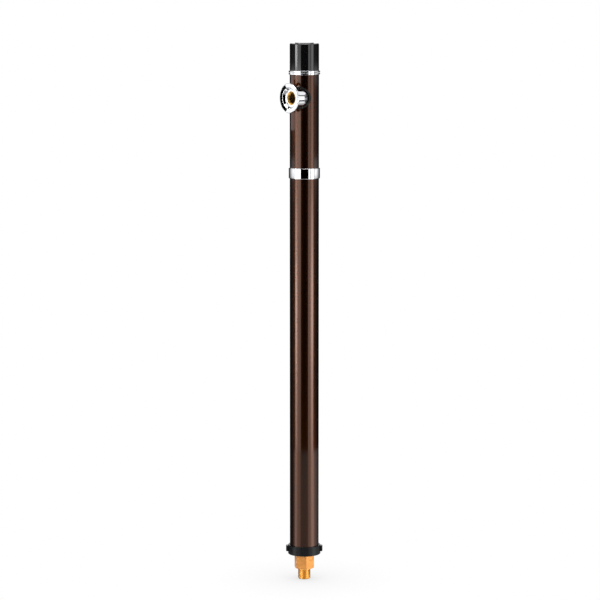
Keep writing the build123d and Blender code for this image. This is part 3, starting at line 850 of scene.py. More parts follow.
@dataclass(frozen=True)
class CoatedSteel(Finish):
    """Steel pipe under a dark metallic bronze coat with a clear top."""

    peel: float = 520.0

    def paint(self, on: Surface) -> None:
        """Flakes in the colour, faint drawing lines and an orange peel.

        Args:
            on: The material to feed.
        """
        graph = on.graph
        flakes = on.effect(Effect.FINE_GRAIN, 2600.0)
        lines = on.effect(Effect.DRAW_LINES, 500.0)
        peel = on.effect(Effect.ORANGE_PEEL, self.peel)
        metal = graph.mixed(graph.span(flakes, 0.35, 0.65), self.shade(0.85), self.shade(1.18))
        metal = on.share(lines, 0.2, metal, self.shade(0.8))
        worn = on.worn(0.3 * MM, 0.3, metal, (0.2, 0.13, 0.09, 1.0))
        dusty = on.dusted(0.25, worn, (0.32, 0.3, 0.27, 1.0))
        rough = graph.span(flakes, *MASK_RANGE, self.roughness - 0.04, self.roughness + 0.05)
        normal = on.bumped(peel, 0.16, 0.05 * MM)
        coat = {
            "Metallic": 1.0,
            "Specular Tint": (0.35, 0.12, 0.05, 1.0),
            "Coat Weight": 0.9,
            "Coat Roughness": 0.05,
            "Coat IOR": 1.5,
            "Coat Normal": normal,
        }
        on.feed(dusty, rough, normal, coat)


@dataclass(frozen=True)
class ChromePlate(Finish):
    """Polished chrome with the last trace of its polishing."""

    def paint(self, on: Surface) -> None:
        """Polishing marks in the roughness, a shallow wave, dust and thin spots at edges.

        Args:
            on: The material to feed.
        """
        graph = on.graph
        polish = on.effect(Effect.TURNING_MARKS, 0.12 * MM)
        smears = on.effect(Effect.FINE_GRAIN, 130.0)
        wave = on.effect(Effect.ORANGE_PEEL, 230.0)
        plate = graph.mixed(graph.span(smears, 0.35, 0.7), self.shade(1.0), self.shade(0.95))
        worn = on.worn(0.2 * MM, 0.25, plate, self.shade(0.7))
        dusty = on.dusted(0.12, worn, (0.5, 0.49, 0.47, 1.0))
        marks = graph.math("MULTIPLY", polish, graph.span(smears, *MASK_RANGE))
        rough = graph.span(marks, 0.1, 0.5, self.roughness * 0.6, self.roughness * 1.6)
        on.feed(dusty, rough, on.bumped(wave, 0.05, 0.04 * MM), {"Metallic": 1.0})


@dataclass(frozen=True)
class MouldedPlastic(Finish):
    """Moulded plastic, from a high gloss to a satin skin."""

    grain: float = 900.0
    grain_depth: float = 0.02 * MM
    coat: float = 0.0
    refraction: float = 1.5

    def paint(self, on: Surface) -> None:
        """A mould's grain, faint handling smears, paler edges and dust.

        Args:
            on: The material to feed.
        """
        graph = on.graph
        grain, smears = on.grains(self.grain, 70.0)
        skin = self.toned(graph, grain, 0.85, 1.15)
        worn = on.worn(0.25 * MM, 0.35, skin, self.shade(3.0))
        dusty = on.dusted(0.15, worn, (0.3, 0.29, 0.27, 1.0))
        rough = graph.span(smears, *MASK_RANGE, self.roughness * 0.85, self.roughness * 1.2)
        gloss = {
            "IOR": self.refraction,
            "Coat Weight": self.coat,
            "Coat Roughness": 0.03,
            "Coat IOR": 1.6,
        }
        on.feed(dusty, rough, on.bumped(grain, 0.3, self.grain_depth), gloss)


@dataclass(frozen=True)
class CastBrass(Finish):
    """Brass as it leaves the die: matt, orange and a little uneven."""

    tarnish: Colour = (0.32, 0.13, 0.03, 1.0)

    def paint(self, on: Surface) -> None:
        """Sand grain in colour and height, tarnish in patches and bright rubbed edges.

        Args:
            on: The material to feed.
        """
        graph = on.graph
        grain, patches = on.grains(1500.0, 160.0)
        metal = self.toned(graph, grain, 0.88, 1.1)
        dull = graph.mixed(graph.span(patches, 0.45, 0.75, 0.0, 0.55), metal, self.tarnish)
        bright = on.worn(0.35 * MM, 0.6, dull, self.shade(1.35))
        rough = graph.span(patches, *MASK_RANGE, self.roughness - 0.05, self.roughness + 0.07)
        on.feed(bright, rough, on.bumped(grain, 0.5, 0.04 * MM), {"Metallic": 0.85})


@dataclass(frozen=True)
class TurnedMetal(Finish):
    """Metal cut on a lathe, with the tool's rings, and a painted shade that darkens it deep in a
    bore.
    """

    pitch: float = 0.22 * MM
    tint: Colour = (0.5, 0.26, 0.07, 1.0)
    # The next colour is a painted shade laid deep inside a bore, where little light reaches; the
    # two depths after it, along the piece's own axis, say where it begins and where it is full.
    painted_bore_shade: Colour = (0.09, 0.04, 0.012, 1.0)
    bore_shade_start: float = -1.0
    bore_shade_end: float = -2.0

    def paint(self, on: Surface) -> None:
        """Rings in colour, roughness and height, with a little tarnish, bright edges and painted
        shade deep in the bore.

        Args:
            on: The material to feed.
        """
        graph = on.graph
        rings = on.effect(Effect.TURNING_MARKS, self.pitch)
        stains = on.effect(Effect.FINE_GRAIN, 220.0)
        metal = self.toned(graph, rings, 0.85, 1.1)
        stained = on.patched(stains, 0.4, metal, self.tint)
        bright = on.worn(0.2 * MM, 0.5, stained, self.shade(1.3))
        # Painted shade: the colour darkens into a near-black brown the deeper it lies inside the
        # bore.
        bore_shade_mask = graph.span(graph.parts(on.own)[2], self.bore_shade_start, self.bore_shade_end)
        toned = graph.mixed(bore_shade_mask, bright, self.painted_bore_shade)
        rough = graph.span(rings, *MASK_RANGE, self.roughness * 0.75, self.roughness * 1.35)
        on.feed(toned, rough, on.bumped(rings, 0.25, 0.02 * MM), {"Metallic": 1.0})


@dataclass(frozen=True)
class DrawnSteel(Finish):
    """Stainless steel rod, tube and sheet with drawing lines."""

    def paint(self, on: Surface) -> None:
        """Lines in colour, roughness and height.

        Args:
            on: The material to feed.
        """
        graph = on.graph
        lines = on.effect(Effect.DRAW_LINES, 1400.0)
        stains = on.effect(Effect.FINE_GRAIN, 110.0)
        metal = self.toned(graph, lines, 0.85, 1.1)
        stained = on.patched(stains, 0.3, metal, self.shade(0.6))
        rough = graph.span(lines, *MASK_RANGE, self.roughness * 0.8, self.roughness * 1.3)
        on.feed(stained, rough, on.bumped(lines, 0.2, 0.01 * MM), {"Metallic": 1.0})


@dataclass(frozen=True)
class SoftSeal(Finish):
    """Rubber or fibre, dull and fine-grained."""

    grain: float = 1800.0

    def paint(self, on: Surface) -> None:
        """Grain in colour and height, with a bloom in patches.

        Args:
            on: The material to feed.
        """
        graph = on.graph
        grain, bloom = on.grains(self.grain, 240.0)
        body = self.toned(graph, grain, 0.7, 1.3)
        bloomed = on.patched(bloom, 0.3, body, self.shade(2.2))
        rough = graph.span(bloom, *MASK_RANGE, self.roughness - 0.08, self.roughness + 0.08)
        on.feed(bloomed, rough, on.bumped(grain, 0.4, 0.03 * MM), {})


CAP_BLACK = MouldedPlastic("cap_black", (0.003, 0.003, 0.0035, 1), 0.07, 1400, 0.003 * MM, 0.6)
TRIM_CHROME = ChromePlate("trim_chrome", (0.88, 0.89, 0.91, 1), 0.045)
PIPE_BROWN = CoatedSteel("pipe_brown", (0.062, 0.018, 0.004, 1), 0.26)
RING_BLACK = MouldedPlastic(
    "ring_black", (0.004, 0.0045, 0.0055, 1), 0.24, 1100, 0.012 * MM, refraction=1.32
)
BODY_BRASS = CastBrass("body_brass", (0.72, 0.31, 0.08, 1), 0.36)
THREAD_BRASS = TurnedMetal("thread_brass", (0.9, 0.55, 0.17, 1), 0.22)
# The socket bush gets painted shade in its bore, from 1.3 mm to 5 mm inside its mouth.
SOCKET_BRASS = TurnedMetal(
    "thread_brass", (0.9, 0.52, 0.13, 1), 0.24, bore_shade_start=-1.3 * MM, bore_shade_end=-5 * MM
)
INNER_BRASS = TurnedMetal("inner_brass", (0.78, 0.5, 0.2, 1), 0.3)
INNER_STEEL = DrawnSteel("inner_steel", (0.56, 0.56, 0.54, 1), 0.28)
SEAL_RUBBER = SoftSeal("seal_rubber", (0.006, 0.006, 0.0065, 1), 0.75)
SEAL_FIBRE = SoftSeal("seal_fibre", (0.3, 0.08, 0.05, 1), 0.7, 1200)
GUIDE_PLASTIC = MouldedPlastic("guide_plastic", (0.75, 0.75, 0.7, 1), 0.4, 1000, 0.02 * MM)
FINISHES = {
    finish.slot: finish
    for finish in (
        *(CAP_BLACK, TRIM_CHROME, PIPE_BROWN, RING_BLACK, BODY_BRASS, THREAD_BRASS),
        *(INNER_BRASS, INNER_STEEL, SEAL_RUBBER, SEAL_FIBRE, GUIDE_PLASTIC),
    )
}


@dataclass(frozen=True)
class Outlet:
    """The tap socket: elbow, brass bush, dished flange and the gasket on the pipe."""

    flange_box: Extent = box_of("outlet_flange")
    bush_box: Extent = box_of("outlet_bush")
    elbow_box: Extent = box_of("outlet_elbow")
    pipe_box: Extent = box_of("upper_pipe")
    gasket_box: Extent = box_of("outlet_gasket")
    thread: PipeThread = PipeThread()
    waterway: float = 6.75 * MM
    spigot: float = 10.4775 * MM
    spigot_start: float = 9.84 * MM
    seat_distance: float = 19.0 * MM
    hole_gap: float = 0.6 * MM
    mouth_edge: float = BROAD_EDGE
    ball_step: int = 5
    lead_in: float = 1.1 * MM
    fit: float = 0.05 * MM
    sheet: float = 1.6 * MM
    throat_edge: float = 0.6 * MM
    back_bend: float = 1.4 * MM
    rim: float = 0.7 * MM
    cone_run: float = 2.7 * MM
    cone_share: float = 0.74
    gasket_width: float = 2.4 * MM
    gasket_gap: float = 0.225 * MM
    gasket_rise: float = 0.9 * MM
    gasket_blank: tuple[float, float] = (0.5, 1.3)

    @property
    def mouth(self) -> Vector:
        """The middle of the socket's open end."""
        centre = self.flange_box.middle
        return Vector((centre.x, self.bush_box.low.y, centre.z))

    @property
    def turn(self) -> float:
        """The elbow's turn away from -Y, in radians."""
        return math.asin(self.mouth.x / self.pipe_box.radius)

    @property
    def body_radius(self) -> float:
        """The elbow's radius at its knuckle."""
        return self.elbow_box.high.x - self.mouth.x

    @property
    def mouth_seat(self) -> Seat:
        """The axis of the socket, from its mouth outwards."""
        return Seat(self.mouth, (math.pi / 2, 0.0, 0.0))

    @property
    def root_seat(self) -> Seat:
        """The axis of the elbow's root, from the column's axis outwards."""
        return Seat(Vector((0.0, 0.0, self.mouth.z)), (math.pi / 2, 0.0, self.turn))

    @property
    def reach(self) -> float:
        """The distance from the knuckle's centre to the mouth."""
        return -self.mouth.y - self.pipe_box.radius * math.cos(self.turn)

    @property
    def bush_length(self) -> float:
        """The bush's length."""
        return self.bush_box.high.y - self.bush_box.low.y

    def build(self) -> None:
        """Builds the four pieces."""
        self.build_elbow()
        self.build_bush()
        self.build_flange()
        self.build_gasket()

    def build_elbow(self) -> None:
        """The chrome body: a ball that runs into a short leg, and the spigot into the head."""
        radius, reach = self.body_radius, self.reach
        ball = [
            Corner(radius * math.cos(angle), -reach - radius * math.sin(angle))
            for angle in (math.radians(step) for step in range(0, 90, self.ball_step))
        ]
        section = [
            Corner(0, 0),
            Corner(radius, 0, self.mouth_edge),
            *ball,
            Corner(0, -reach - radius),
        ]
        work = turned(section, self.mouth_seat)
        beyond = rod(2 * radius, -radius, self.seat_distance, self.root_seat, COARSE_STEPS)
        work = combined(work, beyond, Cut.TAKE)
        spigot = rod(self.spigot, self.spigot_start, self.pipe_box.radius, self.root_seat)
        work = combined(work, spigot, Cut.ADD)
        start = self.spigot_start - OVERRUN
        water = rod(self.waterway, start, self.pipe_box.radius, self.root_seat)
        work = combined(work, water, Cut.TAKE)
        floor = -self.bush_length
        slant = self.waterway * math.sqrt(0.5)
        drilling = [
            Corner(0, OVERRUN),
            Corner(self.bush_box.radius + self.fit, OVERRUN),
            Corner(self.bush_box.radius + self.fit, floor),
            Corner(self.waterway, floor),
            Corner(self.waterway, -reach),
            Corner(slant, -reach - slant),
            Corner(0, -reach - self.waterway),
        ]
        work = combined(work, turned(drilling, self.mouth_seat), Cut.TAKE)
        finished_piece(
            work, "outlet_body", Body.COLUMN, TRIM_CHROME, "outlet_elbow", self.mouth_seat
        )

    def build_bush(self) -> None:
        """The brass bush with the tap's thread cut in it."""
        inner, outer = self.thread.root, self.bush_box.radius
        section = [
            Corner(inner, -self.bush_length),
            Corner(outer, -self.bush_length),
            Corner(outer, 0, KEEN_EDGE),
            Corner(inner + self.lead_in, 0, HAIR_EDGE),
            Corner(inner, -self.lead_in),
        ]
        work = turned(section, self.mouth_seat)
        cutter = PipeThread(self.thread.crest, inner - self.fit, self.thread.pitch)
        tap = cutter.bar(-self.bush_length - OVERRUN, OVERRUN, 0, 0, self.mouth_seat)
        work = combined(work, tap, Cut.TAKE)
        finished_piece(
            work, "socket_bush", Body.COLUMN, SOCKET_BRASS, "outlet_bush", self.mouth_seat
        )

    def build_flange(self) -> None:
        """The pressed flange: a flat dish, a steep cone and a collar on the elbow's leg."""
        bore = self.body_radius + self.fit
        dish = self.mouth.y - self.flange_box.low.y
        collar = self.flange_box.high.y - self.mouth.y
        cone, rise = bore + self.cone_run, dish * self.cone_share
        outer = self.flange_box.radius
        back = dish - self.sheet - self.rim
        section = [
            Corner(bore, -collar, FINE_EDGE),
            Corner(bore, 0, self.throat_edge),
            Corner(cone, rise, PRESSED_EDGE),
            Corner(outer - self.rim, dish, BROAD_EDGE),
            Corner(outer, dish - self.rim, PRESSED_EDGE),
            Corner(outer, back, FINE_EDGE),
            Corner(outer - self.rim, back, FINE_EDGE),
            Corner(cone + self.sheet, rise - self.sheet, self.back_bend),
            Corner(bore + self.sheet, 0, self.back_bend),
            Corner(bore + self.sheet, -collar, SOFT_EDGE),
        ]
        work = turned(section, self.mouth_seat, 2 * ROUND_STEPS)
        finished_piece(
            work, "socket_flange", Body.COLUMN, TRIM_CHROME, "outlet_flange", self.mouth_seat
        )

    def build_gasket(self) -> None:
        """The thin black ring that lies on the pipe round the elbow's hole."""
        inner = self.body_radius + self.hole_gap + self.gasket_gap
        pipe = self.pipe_box.radius
        outer = inner + self.gasket_width
        edge_turn = self.turn + math.asin(outer / pipe)
        face = min(self.gasket_box.high.x / math.sin(edge_turn), pipe + self.gasket_rise)
        start, end = (share * pipe for share in self.gasket_blank)
        work = turned(tube_section(outer, inner, start, end), self.root_seat)
        height = 2 * self.body_radius
        shell = tube_section(face, pipe, self.mouth.z - height, self.mouth.z + height)
        work = combined(work, turned(shell), Cut.KEEP)
        finished_piece(work, "hole_gasket", Body.COLUMN, SEAL_RUBBER, "outlet_gasket")


@dataclass(frozen=True)
class Casing:
    """The two brown pipes, the bright band between them and the collar on top."""

    lower_box: Extent = box_of("lower_pipe")
    upper_box: Extent = box_of("upper_pipe")
    band_box: Extent = box_of("joint_band")
    collar_box: Extent = box_of("top_collar")
    wall: float = 1.5 * MM
    pipe_edge: float = FINE_EDGE
    band_edge: float = 0.7 * MM
    fit: float = 0.05 * MM
    collar_lip: float = 1.0 * MM
    collar_web_radius: float = 19.75 * MM
    collar_hole: float = 13.03 * MM
    hole_rows: tuple[float, ...] = (-1.6, -1.1, -0.6, 0, 0.6, 1.1, 1.6)

    def build(self, outlet: Outlet) -> None:
        """Builds the four pieces.

        Args:
            outlet: Gives the place and size of the hole in the upper pipe.
        """
        self.build_lower_pipe()
        self.build_upper_pipe(outlet)
        self.build_band()
        self.build_collar()

    def pipe_section(self, box: Extent) -> list[Corner]:
        """The section of a casing pipe."""
        inner = box.radius - self.wall
        return tube_section(box.radius, inner, box.bottom, box.top, self.pipe_edge)

    def build_lower_pipe(self) -> None:
        """The long pipe below the band."""
        work = turned(self.pipe_section(self.lower_box))
        finished_piece(work, "lower_casing", Body.COLUMN, PIPE_BROWN, "lower_pipe")

    def build_upper_pipe(self, outlet: Outlet) -> None:
        """The short pipe above the band, with the outlet's hole.

        Args:
            outlet: Gives the hole's place and size.
        """
        work = turned(self.pipe_section(self.upper_box))
        hole_radius = outlet.body_radius + outlet.hole_gap
        for share in self.hole_rows:
            bmesh.ops.bisect_plane(
                work,
                geom=work.verts[:] + work.edges[:] + work.faces[:],
                plane_co=(0, 0, outlet.mouth.z + share * hole_radius),
                plane_no=(0, 0, 1),
            )
        hole = rod(hole_radius, 0, self.upper_box.radius + OVERRUN, outlet.root_seat)
        work = combined(work, hole, Cut.TAKE)
        finished_piece(work, "upper_casing", Body.COLUMN, PIPE_BROWN, "upper_pipe")

    def build_band(self) -> None:
        """The bright band, with the web that the pipe ends meet."""
        box, pipe = self.band_box, self.lower_box.radius
        web_bottom, web_top = self.lower_box.top, self.upper_box.bottom
        section = [
            Corner(pipe + self.fit, box.bottom, KEEN_EDGE),
            Corner(box.radius, box.bottom, self.band_edge),
            Corner(box.radius, box.top, self.band_edge),
            Corner(pipe + self.fit, box.top, KEEN_EDGE),
            Corner(pipe + self.fit, web_top),
            Corner(pipe - self.wall, web_top),
            Corner(pipe - self.wall, web_bottom),
            Corner(pipe + self.fit, web_bottom),
        ]
        finished_piece(turned(section), "bright_band", Body.COLUMN, TRIM_CHROME, "joint_band")

    def build_collar(self) -> None:
        """The bright collar over the upper pipe's end, with the web under the bonnet."""
        box, pipe = self.collar_box, self.upper_box
        lip_top = pipe.top + self.collar_lip
        section = [
            Corner(pipe.radius + self.fit, box.bottom, HAIR_EDGE),
            Corner(box.radius, box.bottom, RING_EDGE),
            Corner(box.radius, lip_top, RING_EDGE),
            Corner(self.collar_web_radius, lip_top),
            Corner(self.collar_web_radius, box.top, SOFT_EDGE),
            Corner(self.collar_hole, box.top),
            Corner(self.collar_hole, pipe.top),
            Corner(pipe.radius + self.fit, pipe.top),
        ]
        finished_piece(turned(section), "column_collar", Body.COLUMN, TRIM_CHROME, "top_collar")


@dataclass(frozen=True)
class Handle:
    """The black cap that turns, its plug and the bright ring at its foot."""

    cap_box: Extent = box_of("handle_cap")
    plug_box: Extent = box_of("cap_plug")
    ring_box: Extent = box_of("handle_trim_ring")
    insert_box: Extent = box_of("handle_insert")
    screw_box: Extent = box_of("handle_screw")
    wall: float = 2.8 * MM
    roof: float = 3.5 * MM
    shoulder: float = 2.2 * MM
    hub_wall: float = 3.5 * MM
    web: float = 2.0 * MM
    screw_hole: float = 2.8 * MM
    well_gap: float = 2.0 * MM
    plug_recess: float = 1.3 * MM
    spigot_wall: float = 1.2 * MM
    rib_width: float = 1.8 * MM
    rib_height: float = 9.0 * MM
    rib_count: int = 6
    rib_sink: float = 0.5 * MM
    hub_root: float = 0.8 * MM
    wall_root: float = 1.2 * MM
    crown: float = 0.12 * MM
    crown_places: tuple[float, ...] = (0.6, 0.3)
    rim_drop: float = 0.14 * MM
    fit: float = 0.05 * MM

    def build(self) -> None:
        """Builds the three pieces."""
        self.build_cap()
        self.build_plug()
        self.build_ring()

    @property
    def well_radius(self) -> float:
        """The radius of the well over the screw's head."""
        return self.screw_box.radius + self.well_gap

    def build_cap(self) -> None:
        """The deep cap with its hub, ribs and the recess for the plug."""
        box, insert = self.cap_box, self.insert_box
        bore, ceiling = box.radius - self.wall, box.top - self.roof
        hub = insert.radius + self.hub_wall
        recess, seat = self.plug_box.radius + self.fit, box.top - self.plug_recess
        section = [
            Corner(bore, box.bottom),
            Corner(box.radius, box.bottom, PRESSED_EDGE),
            Corner(box.radius, box.top, self.shoulder),
            Corner(recess, box.top, SOFT_EDGE),
            Corner(recess, seat),
            Corner(self.well_radius, seat),
            Corner(self.well_radius, insert.top + self.web),
            Corner(self.screw_hole, insert.top + self.web),
            Corner(self.screw_hole, insert.top),
            Corner(insert.radius + self.fit, insert.top),
            Corner(insert.radius + self.fit, insert.bottom),
            Corner(hub, insert.bottom, BROAD_EDGE),
            Corner(hub, ceiling, self.hub_root),
            Corner(bore, ceiling, self.wall_root),
        ]
        work = combined(turned(section), self.ribs(hub, bore, ceiling), Cut.ADD)
        finished_piece(work, "turning_cap", Body.HANDLE, CAP_BLACK, "handle_cap")

    def ribs(self, hub: float, bore: float, ceiling: float) -> BMesh:
        """The ribs between the hub and the wall, under the roof.

        Args:
            hub: The hub's radius.
            bore: The wall's inner radius.
            ceiling: The height of the roof's underside.

        Returns:
            Their mesh.
        """
        work = bmesh.new()
        inner, outer = hub - self.hub_wall / 2, bore + self.wall / 2
        length, middle = outer - inner, (outer + inner) / 2
        size = Matrix.Diagonal((length, self.rib_width, self.rib_height, 1))
        height = ceiling - self.rib_height / 2 + self.rib_sink
        place = Matrix.Translation((middle, 0, height))
        for number in range(self.rib_count):
            turn = Matrix.Rotation(math.tau * number / self.rib_count, 4, "Z")
            bmesh.ops.create_cube(work, size=1, matrix=turn @ place @ size)
        return work

    def build_plug(self) -> None:
        """The raised disc over the screw, a hair crowned."""
        box = self.plug_box
        seat = self.cap_box.top - self.plug_recess
        spigot = self.well_radius - self.fit
        crown = [
            Corner(box.radius * share, box.top - self.crown * share**2)
            for share in self.crown_places
        ]
        section = [
            Corner(0, box.bottom),
            Corner(spigot, box.bottom, SOFT_EDGE),
            Corner(spigot, seat),
            Corner(box.radius, seat),
            Corner(box.radius, box.top - self.rim_drop, RING_EDGE),
            *crown,
            Corner(0, box.top),
        ]
        finished_piece(turned(section), "cap_disc", Body.HANDLE, CAP_BLACK, "cap_plug")

    def build_ring(self) -> None:
        """The bright ring at the cap's foot and its spigot."""
        box = self.ring_box
        spigot = self.cap_box.radius - self.wall - self.fit
        bore = spigot - self.spigot_wall
        section = [
            Corner(bore, box.bottom, FINE_EDGE),
            Corner(box.radius, box.bottom, RING_EDGE),
            Corner(box.radius, self.cap_box.bottom, RING_EDGE),
            Corner(spigot, self.cap_box.bottom),
            Corner(spigot, box.top, SOFT_EDGE),
            Corner(bore, box.top),
        ]
        finished_piece(turned(section), "cap_ring", Body.HANDLE, TRIM_CHROME, "handle_trim_ring")


@dataclass(frozen=True)
class Foot:
    """The black foot ring, the brass valve body and the threaded nipple below them."""

    ring_box: Extent = box_of("base_ring")
    pipe_box: Extent = box_of("lower_pipe")
    valve_box: Extent = box_of("valve_body")
    nipple_box: Extent = box_of("inlet_nipple")
    seat_box: Extent = box_of("valve_seat")
    riser_box: Extent = box_of("riser_pipe")
    seals_box: Extent = box_of("riser_seals")
    drain_box: Extent = box_of("drain_plug")
    strainer_box: Extent = box_of("inlet_strainer")
    thread: PipeThread = PipeThread()
    fit: float = 0.05 * MM
    ring_wall: float = 3.0 * MM
    ring_edge: float = 0.8 * MM
    lug_reach: float = 3.5 * MM
    lug_width: float = 10.0 * MM
    lug_height: float = 9.5 * MM
    lug_drop: float = 1.7 * MM
    lug_edge: float = 0.9 * MM
    lug_turn: float = 52.0
    lug_root: float = 1.0 * MM
    lug_steps: int = 10
    drain_radius: float = 1.4 * MM
    drain_count: int = 4
    drain_place: float = 21.4 * MM
    flats: float = 29.995 * MM
    corner_turn: float = -26.0
    corner_rounding: float = 0.6 * MM
    waste_rise: float = 0.5 * MM
    shank: float = 13.5 * MM
    valve_bore: float = 10.0 * MM
    seat_ledge: float = 6.8 * MM
    groove_height: float = 2.4 * MM
    groove_depth: float = 1.1 * MM
    grip_radius: float = 10.1775 * MM
    nipple_bore: float = 7.2475 * MM
    counterbore: float = 8.5975 * MM
    counterbore_depth: float = 1.2 * MM
    thread_length: float = 16.8 * MM
    thread_lead: float = 1.3 * MM
    thread_run_out: float = 1.6 * MM
    neck_overlap: float = 0.2 * MM
    shank_edge: float = 0.4 * MM
    strainer_wall: float = 0.8 * MM
    strainer_holes: tuple[tuple[float, int], ...] = ((0.0, 1), (2.2 * MM, 6), (4.4 * MM, 12))
    strainer_hole: float = 0.75 * MM
    strainer_flats: int = 20
    strainer_edge: float = 0.6 * MM

    def build(self) -> None:
        """Builds the four pieces."""
        self.build_ring()
        self.build_valve_body()
        self.build_nipple()
        self.build_strainer()

    def build_ring(self) -> None:
        """The black cup round the foot, with two lugs and the drain holes in its floor."""
        bottom, top = self.ring_box.bottom, self.ring_box.top
        bore = self.pipe_box.radius + self.fit
        outer = bore + self.ring_wall
        section = [
            Corner(self.shank + self.fit, bottom, SOFT_EDGE),
            Corner(outer, bottom, self.ring_edge),
            Corner(outer, top, self.ring_edge),
            Corner(bore, top, SOFT_EDGE),
            Corner(bore, self.pipe_box.bottom),
            Corner(self.shank + self.fit, self.pipe_box.bottom),
        ]
        work = combined(turned(section), self.lugs(outer, top - self.lug_drop), Cut.ADD)
        for number in range(self.drain_count):
            turn = math.tau * number / self.drain_count
            spot = Vector((math.cos(turn), math.sin(turn), 0)) * self.drain_place
            drill = Seat(spot, UPRIGHT.turn)
            end = self.pipe_box.bottom + OVERRUN
            hole = rod(self.drain_radius, bottom - OVERRUN, end, drill, DRILL_STEPS)
            work = combined(work, hole, Cut.TAKE)
        finished_piece(work, "foot_ring", Body.COLUMN, RING_BLACK, "base_ring")

    def lugs(self, outer: float, top: float) -> BMesh:
        """The two lugs, across from each other.

        Args:
            outer: The ring's outer radius.
            top: The height of their top.

        Returns:
            Their mesh.
        """
        work = bmesh.new()
        for side in (0, math.pi):
            lug = self.lug(outer, top, side)
            mesh = bpy.data.meshes.new("lug")
            lug.to_mesh(mesh)
            lug.free()
            work.from_mesh(mesh)
            bpy.data.meshes.remove(mesh)
        return work

    def lug(self, outer: float, top: float, side: float) -> BMesh:
        """One lug, a short arc with eased edges.

        Args:
            outer: The ring's outer radius.
            top: The height of its top.
            side: How far it stands round from the first one, in radians.

        Returns:
            Its mesh.
        """
        lug = bmesh.new()
        root, reach, bottom = outer - self.lug_root, outer + self.lug_reach, top - self.lug_height
        half = math.asin(self.lug_width / 2 / reach)
        places = [(root, bottom), (reach, bottom), (reach, top), (root, top)]
        face = lug.faces.new([lug.verts.new((radius, 0, height)) for radius, height in places])
        start = math.radians(self.lug_turn) + side - half
        turn = Matrix.Rotation(start, 4, "Z")
        bmesh.ops.transform(lug, matrix=turn, verts=lug.verts[:])
        spun(lug, [face, *lug.edges, *lug.verts], 2 * half, self.lug_steps)
        settled(lug)
        edges = [
            edge
            for edge in lug.edges
            if len(edge.link_faces) == 2
            and edge.calc_face_angle(0) > SHARP_ANGLE
            and min(vert.co.xy.length for vert in edge.verts) > outer
        ]
        eased(lug, edges, self.lug_edge)
        return lug

    def build_valve_body(self) -> None:
        """The cast hexagon and the shank inside the casing, bored through."""
        bottom, top = self.valve_box.bottom, self.valve_box.top
        hex_top = self.ring_box.bottom
        flat, corner = self.flats / 2, self.flats / math.sqrt(3)
        slope = (corner - flat) / math.sqrt(3)
        grip = self.grip_radius + self.fit
        socket = self.riser_box.radius + self.fit
        groove = self.seals_box.bottom
        groove_floor = self.riser_box.radius + self.groove_depth
        section = [
            Corner(grip, bottom),
            Corner(flat, bottom),
            Corner(corner, bottom + slope),
            Corner(corner, hex_top - slope),
            Corner(flat, hex_top),
            Corner(self.shank, hex_top),
            Corner(self.shank, top, self.shank_edge),
            Corner(socket, top, SOFT_EDGE),
            Corner(socket, groove + self.groove_height),
            Corner(groove_floor, groove + self.groove_height),
            Corner(groove_floor, groove),
            Corner(socket, groove),
            Corner(socket, self.riser_box.bottom),
            Corner(self.valve_bore, self.riser_box.bottom),
            Corner(self.valve_bore, self.seat_box.bottom),
            Corner(self.seat_ledge, self.seat_box.bottom),
            Corner(self.seat_ledge, self.nipple_box.top),
            Corner(grip, self.nipple_box.top),
        ]
        span = bottom - OVERRUN, hex_top + self.waste_rise
        waste = hexagon_waste(self.flats, self.corner_turn, self.corner_rounding, *span)
        work = combined(turned(section), waste, Cut.TAKE)
        drain = Seat(Vector((0, 0, self.drain_box.middle.z)), (-math.pi / 2, 0.0, 0.0))
        radius = (self.drain_box.top - self.drain_box.bottom) / 2 + self.fit
        work = combined(work, rod(radius, 0, 2 * self.shank, drain, COARSE_STEPS), Cut.TAKE)
        finished_piece(work, "valve_casting", Body.COLUMN, BODY_BRASS, "valve_body")

    def build_nipple(self) -> None:
        """The inlet nipple, its thread cut up to a short plain neck."""
        shoulder = self.valve_box.bottom
        thread = self.thread.bar(0, self.thread_length, self.thread_lead, self.thread_run_out)
        start = self.thread_length - self.neck_overlap
        neck = [
            Corner(0, start),
            Corner(self.thread.crest, start, HAIR_EDGE),
            Corner(self.thread.crest, shoulder),
            Corner(self.grip_radius, shoulder),
            Corner(self.grip_radius, self.nipple_box.top),
            Corner(0, self.nipple_box.top),
        ]
        work = combined(thread, turned(neck), Cut.ADD)
        bore = [
            Corner(0, -OVERRUN),
            Corner(self.counterbore, -OVERRUN),
            Corner(self.counterbore, self.counterbore_depth),
            Corner(self.nipple_bore, self.counterbore_depth),
            Corner(self.nipple_bore, self.nipple_box.top + OVERRUN),
            Corner(0, self.nipple_box.top + OVERRUN),
        ]
        work = combined(work, turned(bore), Cut.TAKE)
        finished_piece(work, "threaded_nipple", Body.COLUMN, THREAD_BRASS, "inlet_nipple")

    def build_strainer(self) -> None:
        """The perforated cup in the nipple's end."""
        box = self.strainer_box
        cup = self.nipple_bore - self.fit
        floor = box.top - self.strainer_wall
        section = [
            Corner(cup - self.strainer_wall, box.bottom, FINE_EDGE),
            Corner(box.radius, box.bottom, SOFT_EDGE),
            Corner(box.radius, self.counterbore_depth),
            Corner(cup, self.counterbore_depth),
            Corner(cup, box.top, self.strainer_edge),
            Corner(0, box.top),
            Corner(0, floor),
            Corner(cup - self.strainer_wall, floor),
        ]
        drills = bmesh.new()
        for radius, count in self.strainer_holes:
            for number in range(count):
                turn = Matrix.Rotation(math.tau * number / count, 4, "Z")
                place = turn @ Matrix.Translation((radius, 0, floor))
                bmesh.ops.create_cone(
                    drills,
                    cap_ends=True,
                    segments=self.strainer_flats,
                    radius1=self.strainer_hole,
                    radius2=self.strainer_hole,
                    depth=4 * self.strainer_wall,
                    matrix=place,
                )
        work = combined(turned(section), drills, Cut.TAKE)
        finished_piece(work, "strainer_cup", Body.COLUMN, INNER_STEEL, "inlet_strainer")


